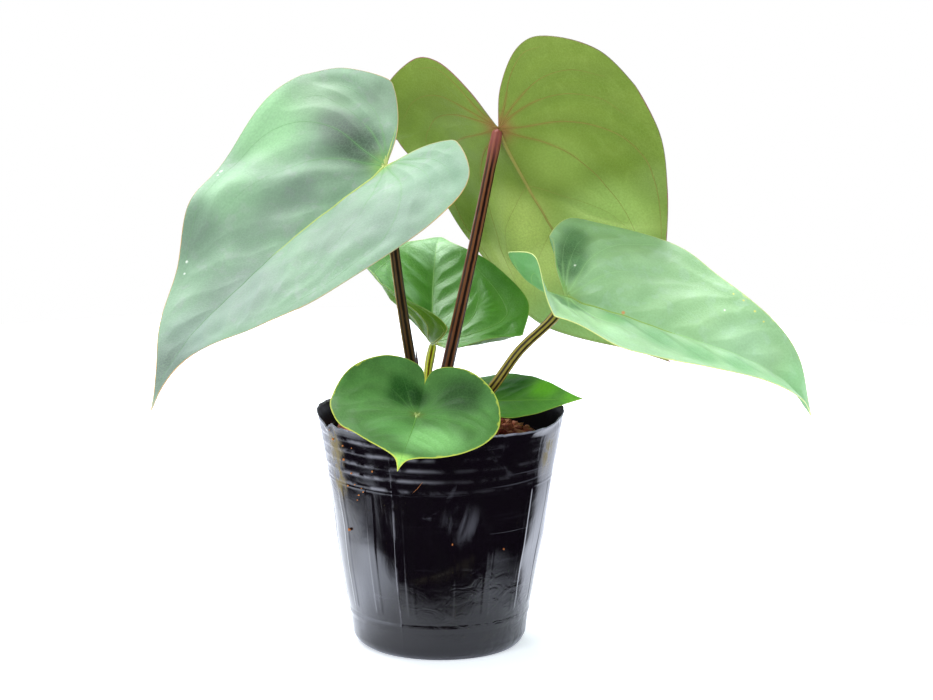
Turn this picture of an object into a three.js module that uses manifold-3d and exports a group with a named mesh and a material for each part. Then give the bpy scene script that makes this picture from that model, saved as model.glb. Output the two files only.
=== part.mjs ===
import * as THREE from 'three';
import { mergeVertices } from 'three/addons/utils/BufferGeometryUtils.js';
import Module from 'manifold-3d';

// A potted anthurium hybrid: a ribbed nursery pot, its potting mix, and a plant of six heart-shaped leaves.
// Millimetres, +Z up. The origin is the centre of the pot's base, and -Y is the side the plant is seen from.

const wasm = await Module();
wasm.setup();

// Gap between neighbouring solids
const GAP = 0.35;

// Pot: a thin moulded nursery pot
const POT = {
  height: 104,
  wall: 1.1,
  floor: 1.0,
  ribCount: 16,
  ribTurn: 5.5, // degrees from the front to the nearest rib, towards +X
  ribOffsets: [-2.6, -1.3, 1.3, 2.6, 11.25], // degrees from a rib's middle to the points of its sector
  ribRise: 0.5,
  ribSpan: [19, 77.5],
  footTop: 20,
  footSides: 48,
  collarBottom: 77,
  collarTop: 102,
  collarSides: 40,
  ridgeHeights: [79, 84, 89, 94, 99],
  ridgeHalfWidth: 1.2,
  ridgeRise: 0.5,
  insideSides: 40,
  drainHoles: 8,
  drainRadius: 4.5,
  drainCircle: 26,
};

// The outside of the pot's wall as [height, radius], without its ribs and ridges
const POT_WALL = [
  [0, 34.8],
  [1.2, 35.9],
  [4.5, 37.4],
  [13, 38.0],
  [15.2, 39.3],
  [17, 39.0],
  [18.6, 39.5],
  [37, 43.5],
  [50, 45.9],
  [66, 48.1],
  [78, 49.5],
  [100, 52.9],
  [102, 53.6],
  [104, 55],
];

// Heights of the steps of the wall's inside
const INSIDE_STEPS = [4.5, 13, 20, 37, 66, 78, 100, 104];

// How far a cutting shape reaches past the face that it opens
const CUT_PAST = 20;

// Potting mix, with chips of bark on its top
const MIX = {
  top: 88,
  swell: 1.4,
  edgeDip: 5,
  ringShares: [1, 0.84, 0.65, 0.45, 0.25],
  chips: 24,
  chipCircle: [15, 41],
  chipSize: [2.2, 4.2],
  seed: 11,
};

// Crown: the short stem that the leaf stalks grow from, as [radius, height], with thick roots
const CROWN = {
  sides: 20,
  profile: [
    [0, 62],
    [5, 64],
    [7.6, 72],
    [8.8, 82],
    [9.6, 90],
    [9.3, 93.4],
    [8.2, 94.5],
    [0, 94.5],
  ],
  roots: 6,
  rootSides: 6,
  rootSteps: 6,
  rootRadius: [2.3, 1.3],
  rootStart: [70, 82], // heights between which a root leaves the crown
  rootReach: [22, 28], // distances from the axis between which it turns down
  rootEnd: [16, 30], // heights between which it ends
  rootDrift: 0.45, // radians that it may wander to either side
  rootJitter: 0.4, // share of the even spacing that its place may vary
  seed: 707,
};

// The dark sheath that is left beside the oldest stalk
const SHEATH = {
  path: [[-6.7, 2.9, 95.6], [-9.0, 2.5, 112], [-10.9, 1.2, 132]],
  halfWidth: 1.7,
  halfDepth: 0.55,
  sides: 8,
  steps: 6,
};

// Leaf blades: thickness, and the midrib's depth and half width on the underside. A lip is a margin rolled on
// at a lobe: its place and length are shares of the lobe, back from the joint.
const BLADE = { thickness: 0.8, midribDepth: 1.1, midribHalfWidth: 1.6, lipPlace: 0.5, lipLength: 0.9 };

// Where a margin's five waves stand: the direction from the joint in degrees off the tip, and the width
const WAVE_PLACES = [
  [16, 8],
  [32, 10],
  [52, 13],
  [80, 18],
  [120, 24],
];

// Rows of a half blade along its margin, and columns as shares from midrib to margin
const BIG_GRID = { rows: 28, columns: [0.07, 0.25, 0.5, 0.76, 1] };
const SMALL_GRID = { rows: 22, columns: [0.09, 0.36, 0.68, 1] };

const STALK = { sides: 10, steps: 12, kneeLength: 9, kneeSwell: 0.12 };

// Leaves. Pairs are [left half, right half], seen from above with the tip ahead, and triples run
// [lobe, middle, tip]. Lengths are in millimetres, angles in degrees, the rest are shares of a half width.
const LEAVES = [
  {
    place: 'front_left',
    grid: BIG_GRID,
    blade: 'silverGreen',
    stalk: 'maroonBrown',
    joint: [-23.5, -12, 215],
    heading: -156,
    pitch: -30,
    roll: -15,
    length: 152.5,
    halfWidth: [62, 62],
    lobe: [26.5, 32.5],
    sinus: 0.31,
    widest: 0.07,
    tipFill: -0.03,
    sideFill: 0.07,
    droop: 16,
    hook: -14,
    lobeBend: 23,
    sweep: 4,
    tipSweep: 43,
    twist: -4,
    fold: [[21, 28, 8], [21, 34, -2]],
    curl: [[-29, -43, -21], [-2, -21, -9]],
    waves: [[0, -2, -0.5, -1.5, -1], [-3.5, 8.5, -2.5, 4, 1]],
    stalkRadius: [2.5, 2.2],
    stalkPath: [[-5, -1.8, 95.7], [-8.6, -1.9, 105], [-13, -3, 127], [-19.7, -9, 175]],
  },
  {
    place: 'back_right',
    grid: BIG_GRID,
    blade: 'oliveGreen',
    stalk: 'maroonBrown',
    joint: [25.5, 30, 225.5],
    heading: 33,
    pitch: -61,
    roll: -32,
    length: 163.5,
    halfWidth: [61.5, 67.5],
    lobe: [39.5, 37],
    sinus: 0.23,
    widest: 0.13,
    tipFill: -0.04,
    sideFill: 0.04,
    droop: -21,
    hook: -12,
    lobeBend: 24,
    sweep: -4,
    tipSweep: -4,
    twist: -4,
    fold: [[11, 17, -23], [2, 11, 5]],
    curl: [[-13, 17, 7], [-1, -2, 0]],
    lip: [-92, 0],
    waves: [[-7.5, 4, 1, 0.5, 0], [0, 0, -0.5, -0.5, 0.5]],
    stalkRadius: [2.9, 2.4],
    stalkPath: [[-0.6, 2.2, 95.7], [-0.8, 3.2, 106], [3.2, 7, 124], [14.3, 17, 173]],
  },
  {
    place: 'right',
    grid: BIG_GRID,
    blade: 'silverGreen',
    stalk: 'oliveBrown',
    joint: [55, -6, 156.5],
    heading: -8,
    pitch: -15,
    roll: 24,
    length: 128,
    halfWidth: [56, 44],
    lobe: [17, 36],
    sinus: 0.4,
    widest: 0.09,
    tipFill: 0.1,
    sideFill: 0.03,
    droop: 13,
    hook: 45,
    lobeBend: 23,
    sweep: 8,
    tipSweep: 12,
    twist: -3,
    fold: [[25, 26, 29], [49, 27, 12]],
    curl: [[-33, -42, 1], [10, -17, -5]],
    waves: [[2, -2.5, 0.5, 0, -0.5], [-1, -1, -1.5, 4, 8]],
    stalkRadius: [2.4, 2.1],
    stalkPath: [
      [5.4, -3, 95.6], [6.1, -3.5, 98.4], [12, -7.5, 104.5],
      [22.6, -11.5, 117], [34.8, -11, 133.8], [49.6, -8, 147.8],
    ],
  },
  {
    place: 'back',
    grid: SMALL_GRID,
    blade: 'deepGreen',
    stalk: 'yellowGreen',
    joint: [-3.5, 34, 127.5],
    heading: 93,
    pitch: 26,
    roll: 13,
    length: 73.5,
    halfWidth: [43, 41],
    lobe: [26.5, 19],
    sinus: 0.32,
    widest: 0.03,
    tipFill: 0,
    sideFill: 0.24,
    droop: -40,
    hook: 66,
    lobeBend: 23,
    sweep: 1,
    tipSweep: -21,
    twist: -13,
    fold: [[126, 43, 2], [61, 29, 9]],
    curl: [[-147, -1, 1], [-45, -21, -6]],
    waves: [[0, 0.5, 0, -0.5, -1], [-0.5, 0.5, -0.5, 0.5, -1]],
    stalkRadius: [2.1, 1.8],
    stalkPath: [[-3.9, 6.2, 95.6], [-4.3, 7, 98.6], [-6.1, 13, 106], [-5.8, 21, 117]],
  },
  {
    place: 'front_low',
    grid: SMALL_GRID,
    blade: 'midGreen',
    stalk: 'oliveBrown',
    joint: [-10, -39, 111],
    heading: -97,
    pitch: -12,
    roll: -10,
    length: 58,
    halfWidth: [36, 37.5],
    lobe: [29.5, 29.5],
    sinus: -0.03,
    widest: 0.07,
    tipFill: -0.07,
    sideFill: 0.05,
    droop: -11,
    hook: 22,
    lobeBend: 52,
    sweep: -2,
    tipSweep: 1,
    twist: -1,
    fold: [[13, 10, -2], [15, 7, 2]],
    curl: [[-9, -9, -9], [-6, -10, -8]],
    waves: [[-1.5, -0.5, 0, 0, 0.5], [-0.5, 0, -1.5, 0, 0.5]],
    stalkRadius: [1.9, 1.7],
    stalkPath: [[0.2, -5.4, 95.6], [0.1, -6.3, 98.2], [-2.5, -14, 100.5], [-7, -29, 104.5]],
  },
  {
    place: 'right_low',
    grid: SMALL_GRID,
    blade: 'midGreen',
    stalk: 'yellowGreen',
    joint: [15, 21, 103.5],
    heading: -23,
    pitch: 7,
    roll: 4,
    length: 52,
    halfWidth: [25.5, 24],
    lobe: [12, 6],
    sinus: 0.12,
    widest: 0.08,
    tipFill: 0.03,
    sideFill: 0.02,
    droop: 1,
    hook: 1,
    lobeBend: 20,
    sweep: 1,
    tipSweep: 1,
    twist: 12,
    fold: [[12, 21, 15], [10, 3, -12]],
    curl: [[-9, -16, -2], [-10, -2, -5]],
    waves: [[0.5, -0.5, -1, -0.5, 0.5], [-1.5, -1, 0.5, 1.5, 0]],
    stalkRadius: [1.8, 1.6],
    stalkPath: [[6, 3.8, 95.6], [6.5, 5, 98.2], [8.4, 10, 99.6], [11.7, 16.2, 98.8]],
  },
];

// Finishes
const FINISHES = {
  blackPlastic: { color: 0x17181b, roughness: 0.35, metalness: 0 },
  barkMix: { color: 0x5a3524, roughness: 0.95, metalness: 0 },
  crownGreen: { color: 0x6b6a3a, roughness: 0.7, metalness: 0 },
  maroonBrown: { color: 0x3a1c18, roughness: 0.5, metalness: 0 },
  oliveBrown: { color: 0x6a6230, roughness: 0.5, metalness: 0 },
  yellowGreen: { color: 0x9db83c, roughness: 0.5, metalness: 0 },
  silverGreen: { color: 0x9cc7a6, roughness: 0.45, metalness: 0 },
  oliveGreen: { color: 0x8fa34a, roughness: 0.5, metalness: 0 },
  deepGreen: { color: 0x2f6f2a, roughness: 0.3, metalness: 0 },
  midGreen: { color: 0x4f8f48, roughness: 0.4, metalness: 0 },
};

const { degToRad, lerp, clamp, smoothstep } = THREE.MathUtils;
const point = ([x, y, z]) => new THREE.Vector3(x, y, z);

// Draws between 0 and 1 that are the same on every run.
function seeded(seed) {
  let state = seed;
  return () => {
    state = (state * 16807) % 2147483647;
    return state / 2147483647;
  };
}

// Height-to-radius curve read at one height.
function radiusAt(profile, height) {
  const next = profile.findIndex(([z]) => z >= height);
  if (next <= 0) return profile[Math.max(next, 0)][1];
  const [z0, r0] = profile[next - 1];
  const [z1, r1] = profile[next];
  return lerp(r0, r1, (height - z0) / (z1 - z0));
}

// A closed solid through rings of points, with a fan across each end. Rings run anticlockwise seen from the
// end of the stack.
function loft(rings) {
  const sides = rings[0].length;
  const points = rings.flat();
  const faces = [];
  for (let r = 0; r < rings.length - 1; r++) {
    for (let i = 0; i < sides; i++) {
      const a = r * sides + i;
      const b = r * sides + ((i + 1) % sides);
      faces.push(a, b, b + sides, a, b + sides, a + sides);
    }
  }
  for (const [ring, last] of [[0, false], [rings.length - 1, true]]) {
    const centre = points.length;
    points.push(rings[ring].reduce((sum, p) => sum.add(p), new THREE.Vector3()).divideScalar(sides));
    for (let i = 0; i < sides; i++) {
      const a = ring * sides + i;
      const b = ring * sides + ((i + 1) % sides);
      faces.push(...(last ? [a, b, centre] : [b, a, centre]));
    }
  }
  return meshGeometry(points, faces);
}

function meshGeometry(points, faces) {
  const geometry = new THREE.BufferGeometry().setFromPoints(points);
  geometry.setIndex(faces);
  return geometry;
}

// A geometry as a solid that can be joined and cut, and back.
function solid(geometry) {
  const bare = geometry.clone();
  bare.deleteAttribute('normal');
  bare.deleteAttribute('uv');
  const merged = mergeVertices(bare);
  return new wasm.Manifold(new wasm.Mesh({
    numProp: 3,
    vertProperties: new Float32Array(merged.attributes.position.array),
    triVerts: new Uint32Array(merged.index.array),
  }));
}

function geometryOf(manifold) {
  const mesh = manifold.getMesh();
  const geometry = new THREE.BufferGeometry();
  geometry.setAttribute('position', new THREE.BufferAttribute(mesh.vertProperties, 3));
  geometry.setIndex(new THREE.BufferAttribute(mesh.triVerts, 1));
  return geometry;
}

// A level ring of points at the given angles in degrees, each at radius(index).
function levelRing(angles, height, radius) {
  return angles.map((angle, i) => {
    const turn = degToRad(angle);
    return new THREE.Vector3(radius(i) * Math.cos(turn), radius(i) * Math.sin(turn), height);
  });
}

const evenAngles = (count) => Array.from({ length: count }, (_, i) => (360 * i) / count);

// Rings of a round rod along a curve. radius(share) gives its radius, or [width, depth] of an oval.
function rodRings(curve, steps, sides, radius) {
  const frames = curve.computeFrenetFrames(steps, false);
  return Array.from({ length: steps + 1 }, (_, s) => {
    const share = s / steps;
    const centre = curve.getPointAt(share);
    const size = [radius(share)].flat();
    return Array.from({ length: sides }, (_, i) => {
      const turn = (2 * Math.PI * i) / sides;
      return centre.clone()
        .addScaledVector(frames.normals[s], size[0] * Math.cos(turn))
        .addScaledVector(frames.binormals[s], (size[1] ?? size[0]) * Math.sin(turn));
    });
  });
}

const curveThrough = (points) => new THREE.CatmullRomCurve3(points, false, 'centripetal');

// Pot
// A round band of the wall through [height, rise] steps, each at the wall's own radius there plus the rise.
function wallBand(sides, steps) {
  const angles = evenAngles(sides);
  return loft(steps.map(([z, rise]) => levelRing(angles, z, () => radiusAt(POT_WALL, z) + rise)));
}

const foot = () => wallBand(POT.footSides, [
  ...POT_WALL.filter(([z]) => z < POT.ribSpan[0]).map(([z]) => [z, 0]),
  [POT.footTop, -GAP],
]);

// The wall between foot and collar, with its upright ribs: each rib is a low flat-topped rise.
function ribbedWall() {
  const angles = [];
  for (let rib = 0; rib < POT.ribCount; rib++) {
    const middle = -90 + POT.ribTurn + (360 / POT.ribCount) * rib;
    angles.push(...POT.ribOffsets.map((offset) => middle + offset));
  }
  const [bottom, top] = POT.ribSpan;
  const heights = [bottom, ...POT_WALL.map(([z]) => z).filter((z) => z > bottom && z < top), top];
  const onRib = (i) => [1, 2].includes(i % POT.ribOffsets.length);
  return loft(heights.map((z) => (
    levelRing(angles, z, (i) => radiusAt(POT_WALL, z) + (onRib(i) ? POT.ribRise : 0))
  )));
}

// The collar between ribs and rim, with five level ridges.
function ridgedCollar() {
  const steps = [[POT.collarBottom, 0]];
  for (const z of POT.ridgeHeights) {
    steps.push([z - POT.ridgeHalfWidth, 0], [z, POT.ridgeRise], [z + POT.ridgeHalfWidth, 0]);
  }
  steps.push([POT.collarTop, 0], [POT.height, 0]);
  return wallBand(POT.collarSides, steps);
}

// Radius of the wall's inside, less a margin that the potting mix keeps.
const insideRadius = (height, margin = 0) => radiusAt(POT_WALL, height) - POT.wall - margin;

function potInside() {
  const angles = evenAngles(POT.insideSides);
  const heights = [POT.floor, ...INSIDE_STEPS, POT.height + 1];
  return loft(heights.map((z) => levelRing(angles, z, () => insideRadius(z))));
}

function drainHole(index) {
  const hole = new THREE.CylinderGeometry(POT.drainRadius, POT.drainRadius, 4 * POT.floor, 12);
  hole.rotateX(Math.PI / 2);
  const turn = (2 * Math.PI * (index + 0.5)) / POT.drainHoles;
  hole.translate(POT.drainCircle * Math.cos(turn), POT.drainCircle * Math.sin(turn), 0);
  return hole;
}

function potGeometry() {
  let pot = solid(foot()).add(solid(ribbedWall())).add(solid(ridgedCollar())).subtract(solid(potInside()));
  for (let i = 0; i < POT.drainHoles; i++) pot = pot.subtract(solid(drainHole(i)));
  return geometryOf(pot);
}

// Crown and roots
function crownBody(margin) {
  const profile = CROWN.profile.map(([r, z], i) => {
    const lift = i === 0 ? -margin : 0;
    return new THREE.Vector2(r === 0 ? 0 : r + margin, z + lift);
  });
  if (margin > 0) {
    for (const corner of profile.slice(-2)) corner.y += CUT_PAST;
  }
  return new THREE.LatheGeometry(profile, CROWN.sides).rotateX(Math.PI / 2);
}

// Each root leaves the crown's side, arches out and runs down towards the bottom of the pot.
function rootRod(index, margin) {
  const draw = seeded(CROWN.seed * (index + 1));
  const between = ([low, high]) => lerp(low, high, draw());
  const turn = (2 * Math.PI * (index + CROWN.rootJitter * draw())) / CROWN.roots;
  const start = between(CROWN.rootStart);
  const reach = between(CROWN.rootReach);
  const end = between(CROWN.rootEnd);
  const drift = between([-CROWN.rootDrift, CROWN.rootDrift]);
  const at = (radius, height, share) => {
    const angle = turn + drift * share;
    return new THREE.Vector3(radius * Math.cos(angle), radius * Math.sin(angle), height);
  };
  const path = [
    at(3, start, 0),
    at(0.6 * reach, start - 5, 0.2),
    at(reach, lerp(start, end, 0.5), 0.6),
    at(reach + 2, end - margin, 1),
  ];
  const [thick, thin] = CROWN.rootRadius;
  const radius = (share) => lerp(thick, thin, share) + margin;
  return loft(rodRings(curveThrough(path), CROWN.rootSteps, CROWN.rootSides, radius));
}

function crownSolid(margin) {
  let body = solid(crownBody(margin));
  for (let i = 0; i < CROWN.roots; i++) body = body.add(solid(rootRod(i, margin)));
  return body;
}

// Potting mix
// The mix's top swells and dips a little: a sum of three slow waves.
function mixTop(x, y) {
  return MIX.top + MIX.swell * (Math.sin(x / 9 + 1) * Math.cos(y / 11) + 0.6 * Math.sin(x / 5 - y / 6));
}

function mixBody() {
  const angles = evenAngles(POT.insideSides);
  const floor = POT.floor + GAP;
  const heights = [floor, ...INSIDE_STEPS.filter((z) => z < MIX.top - MIX.edgeDip)];
  const rings = heights.map((z) => levelRing(angles, z, () => insideRadius(z, GAP)));
  const edge = insideRadius(MIX.top - MIX.edgeDip, GAP);
  for (const share of MIX.ringShares) {
    const ring = levelRing(angles, 0, () => edge * share);
    for (const p of ring) p.z = mixTop(p.x, p.y) - (share === 1 ? 0.4 * MIX.edgeDip : 0);
    rings.push(ring);
  }
  return loft(rings);
}

// One bark chip: a squashed, turned lump lying partly in the mix.
function chip(draw) {
  const [near, far] = MIX.chipCircle;
  const radius = lerp(near, far, Math.sqrt(draw()));
  const turn = 2 * Math.PI * draw();
  const size = lerp(MIX.chipSize[0], MIX.chipSize[1], draw());
  const lump = new THREE.IcosahedronGeometry(1, 0).scale(size, size * lerp(0.45, 0.8, draw()), size * 0.5);
  lump.rotateX(draw() - 0.5).rotateZ(2 * Math.PI * draw());
  const x = radius * Math.cos(turn);
  const y = radius * Math.sin(turn);
  return lump.translate(x, y, mixTop(x, y) + 0.15 * size);
}

function mixGeometry() {
  const draw = seeded(MIX.seed);
  let mix = solid(mixBody());
  for (let i = 0; i < MIX.chips; i++) mix = mix.add(solid(chip(draw)));
  return geometryOf(mix.subtract(crownSolid(GAP)));
}

// Leaves
// Half outline from the sinus to the tip on the flat leaf: x runs along the midrib and y to the side.
function halfOutline(leaf, half) {
  const width = leaf.halfWidth[half];
  const lobe = leaf.lobe[half];
  const { length, sinus, widest, tipFill, sideFill } = leaf;
  return curveThrough([
    [0, 0],
    [-0.5 * lobe, 0.55 * sinus * width],
    [-0.92 * lobe, (sinus + 0.1) * width],
    [-lobe, 0.5 * width],
    [-0.62 * lobe, 0.88 * width],
    [widest * length, width],
    [0.34 * length, (0.82 + sideFill) * width],
    [0.62 * length, (0.46 + sideFill) * width],
    [0.84 * length, (0.15 + tipFill) * width],
    [0.94 * length, (0.045 + 0.4 * tipFill) * width],
    [length, 0],
  ].map(([x, y]) => new THREE.Vector3(x, y, 0)));
}

// The leaf's own frame at the joint: x ahead along the midrib, y to the left, z out of the upper face.
function jointFrame(leaf) {
  const heading = new THREE.Matrix4().makeRotationZ(degToRad(leaf.heading));
  const pitch = new THREE.Matrix4().makeRotationY(degToRad(-leaf.pitch));
  const roll = new THREE.Matrix4().makeRotationX(degToRad(leaf.roll));
  return heading.multiply(pitch).multiply(roll);
}

// The frame at a distance along the midrib: it droops, hooks near the tip, sweeps sideways and twists.
function midribFrame(leaf, along) {
  const share = clamp(along / leaf.length, 0, 1);
  const back = Math.max(-along / Math.max(...leaf.lobe), 0);
  const nearTip = smoothstep(share, 0.6, 1);
  const bend = -leaf.droop * share - leaf.hook * nearTip - leaf.lobeBend * back;
  const sweep = leaf.sweep * share ** 1.3 + leaf.tipSweep * nearTip;
  return jointFrame(leaf)
    .multiply(new THREE.Matrix4().makeRotationZ(degToRad(sweep)))
    .multiply(new THREE.Matrix4().makeRotationY(degToRad(-bend)))
    .multiply(new THREE.Matrix4().makeRotationX(degToRad(leaf.twist * share)));
}

// Stations along the midrib, from behind the lobes to the tip, each with its place and frame.
function midrib(leaf) {
  const backSteps = 20;
  const frontSteps = 80;
  const behind = 1.15 * Math.max(...leaf.lobe);
  const stations = [];
  for (let i = -backSteps; i <= frontSteps; i++) {
    const along = i < 0 ? (behind * i) / backSteps : (leaf.length * i) / frontSteps;
    const frame = midribFrame(leaf, along);
    stations.push({ along, frame, ahead: new THREE.Vector3().setFromMatrixColumn(frame, 0) });
  }
  stations[backSteps].place = point(leaf.joint);
  const step = (from, to) => {
    const mean = from.ahead.clone().add(to.ahead).multiplyScalar(0.5);
    to.place = from.place.clone().addScaledVector(mean, to.along - from.along);
  };
  for (let i = backSteps; i < stations.length - 1; i++) step(stations[i], stations[i + 1]);
  for (let i = backSteps; i > 0; i--) step(stations[i], stations[i - 1]);
  return stations;
}

// Place and sideways and upward directions at any distance along the midrib.
function midribAt(stations, along) {
  const next = Math.max(stations.findIndex((station) => station.along >= along), 1);
  const [from, to] = [stations[next - 1], stations[next]];
  const share = clamp((along - from.along) / (to.along - from.along), 0, 1);
  const column = (index) => {
    const a = new THREE.Vector3().setFromMatrixColumn(from.frame, index);
    const b = new THREE.Vector3().setFromMatrixColumn(to.frame, index);
    return a.lerp(b, share).normalize();
  };
  return { place: from.place.clone().lerp(to.place, share), side: column(1), up: column(2) };
}

// A point of the blade's middle surface. Off the midrib the blade rises at its fold angle and turns on by
// its curl angle towards the margin; both run from lobe to middle to tip. Waves lift the margin.
function bladePoint(leaf, stations, along, aside) {
  const half = aside >= 0 ? 0 : 1;
  const off = Math.abs(aside);
  const share = off / leaf.halfWidth[half];
  const back = -along / Math.max(...leaf.lobe);
  const mix = ([lobe, middle, tip]) => {
    if (along > 0) return degToRad(lerp(middle, tip, smoothstep(along / leaf.length, 0, 1)));
    return degToRad(middle + (lobe - middle) * clamp(back, 0, 1.2));
  };
  const fold = mix(leaf.fold[half]);
  const curl = mix(leaf.curl[half]);
  const lip = degToRad(leaf.lip?.[half] ?? 0) * Math.exp(-(((BLADE.lipPlace - back) / BLADE.lipLength) ** 2));
  const steps = 8;
  let across = 0;
  let rise = 0;
  let angle = fold;
  for (let i = 0; i <= steps; i++) {
    const part = (share * i) / steps;
    angle = fold + curl * part + lip * smoothstep(part, 0.5, 1);
    const weight = (i === 0 || i === steps ? 1 : i % 2 ? 4 : 2) / (3 * steps);
    across += off * weight * Math.cos(angle);
    rise += off * weight * Math.sin(angle);
  }
  const direction = THREE.MathUtils.radToDeg(Math.atan2(off, along));
  let wave = 0;
  WAVE_PLACES.forEach(([centre, width], i) => {
    wave += leaf.waves[half][i] * Math.exp(-(((direction - centre) / width) ** 2));
  });
  wave *= smoothstep(share, 0, 1);
  const { place, side, up } = midribAt(stations, along);
  return place
    .addScaledVector(side, Math.sign(aside) * (across - wave * Math.sin(angle)))
    .addScaledVector(up, rise + wave * Math.cos(angle));
}

// Rows of the flat leaf: each runs from a root on the midrib to the margin. Both halves share the roots.
function ribRows(leaf) {
  const { rows } = leaf.grid;
  const margins = [0, 1].map((half) => halfOutline(leaf, half).getSpacedPoints(rows));
  const roots = [];
  for (let row = 0; row <= rows; row++) {
    const reach = (half) => clamp(margins[half][row].x - 0.45 * margins[half][row].y, 0, leaf.length);
    const root = 0.5 * (reach(0) + reach(1));
    roots.push(Math.max(root, roots.at(-1) ?? 0));
  }
  const last = roots.at(-1);
  return { margins, roots: roots.map((root) => (root * leaf.length) / last) };
}

// The blade's middle surface as points, how thick its underside is there, and triangles seen from above.
function bladeSheet(leaf) {
  const { rows, columns } = leaf.grid;
  const { margins, roots } = ribRows(leaf);
  const stations = midrib(leaf);
  const points = [];
  const depths = [];
  const add = (along, aside) => {
    const ridge = Math.max(1 - Math.abs(aside) / BLADE.midribHalfWidth, 0) * (1 - along / leaf.length);
    points.push(bladePoint(leaf, stations, along, aside));
    depths.push(BLADE.thickness / 2 + BLADE.midribDepth * ridge);
    return points.length - 1;
  };
  const spine = [add(0, 0)];
  for (let row = 1; row <= rows; row++) spine[row] = roots[row] > 0 ? add(roots[row], 0) : spine[0];
  const faces = [];
  for (const half of [0, 1]) {
    const sign = half === 0 ? 1 : -1;
    const grid = [];
    for (let row = 1; row < rows; row++) {
      const margin = margins[half][row];
      grid[row] = [spine[row]];
      for (const share of columns) {
        grid[row].push(add(lerp(roots[row], margin.x, share), sign * share * margin.y));
      }
    }
    grid[rows] = Array(columns.length + 1).fill(spine[rows]);
    for (let row = 1; row < rows; row++) {
      for (let column = 0; column < columns.length; column++) {
        const [a, b] = [grid[row][column], grid[row][column + 1]];
        const [c, d] = [grid[row + 1][column + 1], grid[row + 1][column]];
        for (const face of [[a, d, c], [a, c, b]]) {
          if (new Set(face).size < 3) continue;
          faces.push(half === 0 ? face : [face[0], face[2], face[1]]);
        }
      }
    }
  }
  return { points, depths, faces };
}

// Mean directions out of the upper face at each point of a sheet.
function sheetNormals({ points, faces }) {
  const normals = points.map(() => new THREE.Vector3());
  for (const [a, b, c] of faces) {
    const side = points[b].clone().sub(points[a]);
    const normal = side.cross(points[c].clone().sub(points[a]));
    for (const i of [a, b, c]) normals[i].add(normal);
  }
  return normals.map((normal) => normal.normalize());
}

// A closed blade: the sheet's upper and under faces, alike in their triangles, joined along the margin.
function bladeGeometry(leaf) {
  const sheet = bladeSheet(leaf);
  const normals = sheetNormals(sheet);
  const upper = sheet.points.map((p, i) => p.clone().addScaledVector(normals[i], BLADE.thickness / 2));
  const under = sheet.points.map((p, i) => p.clone().addScaledVector(normals[i], -sheet.depths[i]));
  const count = upper.length;
  const faces = [];
  const edges = new Map();
  for (const [a, b, c] of sheet.faces) {
    faces.push(a, b, c, a + count, c + count, b + count);
    for (const [from, to] of [[a, b], [b, c], [c, a]]) edges.set(`${from} ${to}`, [from, to]);
  }
  for (const [from, to] of edges.values()) {
    if (edges.has(`${to} ${from}`)) continue;
    faces.push(to, from, from + count, to, from + count, to + count);
  }
  return meshGeometry([...upper, ...under], faces);
}

// A leaf stalk, ending just under the blade, with a slightly thicker knee below it.
function stalkCurve(leaf) {
  const joint = point(leaf.joint);
  const up = new THREE.Vector3().setFromMatrixColumn(jointFrame(leaf), 2);
  const path = leaf.stalkPath.map(point);
  const approach = joint.clone().sub(path.at(-1)).normalize();
  const rise = approach.dot(up);
  const clear = BLADE.thickness / 2 + BLADE.midribDepth + GAP;
  const back = (clear + leaf.stalkRadius[1] * Math.sqrt(1 - rise * rise) * 1.2) / rise;
  path.push(joint.addScaledVector(approach, -back));
  return curveThrough(path);
}

function stalkGeometry(leaf) {
  const curve = stalkCurve(leaf);
  const [foot, top] = leaf.stalkRadius;
  const knee = STALK.kneeLength / curve.getLength();
  return loft(rodRings(curve, STALK.steps, STALK.sides, (share) => {
    const swell = 1 + STALK.kneeSwell * smoothstep(share, 1 - 2 * knee, 1 - knee);
    return lerp(foot, top, share) * swell;
  }));
}

// The pointed sheath: an oval rod that narrows to its tip.
function sheathGeometry() {
  const curve = curveThrough(SHEATH.path.map(point));
  return loft(rodRings(curve, SHEATH.steps, SHEATH.sides, (share) => {
    const taper = 1 - 0.8 * share ** 1.5;
    return [SHEATH.halfWidth * taper, SHEATH.halfDepth * taper];
  }));
}

// Plant in its pot
const plant = new THREE.Group();

function addPart(name, geometry, finish) {
  const mesh = new THREE.Mesh(geometry, new THREE.MeshStandardMaterial(FINISHES[finish]));
  mesh.name = name;
  plant.add(mesh);
}

addPart('pot', potGeometry(), 'blackPlastic');
addPart('potting_mix', mixGeometry(), 'barkMix');
addPart('crown', geometryOf(crownSolid(0)), 'crownGreen');
addPart('sheath', sheathGeometry(), 'maroonBrown');
for (const leaf of LEAVES) {
  addPart(`blade_${leaf.place}`, bladeGeometry(leaf), leaf.blade);
  addPart(`stalk_${leaf.place}`, stalkGeometry(leaf), leaf.stalk);
}

export default plant;
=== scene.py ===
"""Looks of a potted anthurium hybrid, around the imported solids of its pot, mix, crown, stalks and leaves.

Lengths in the classes are millimetres and angles degrees; meshes are written in metres. +Z is up, and the plant
is seen from -Y.
"""

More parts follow.
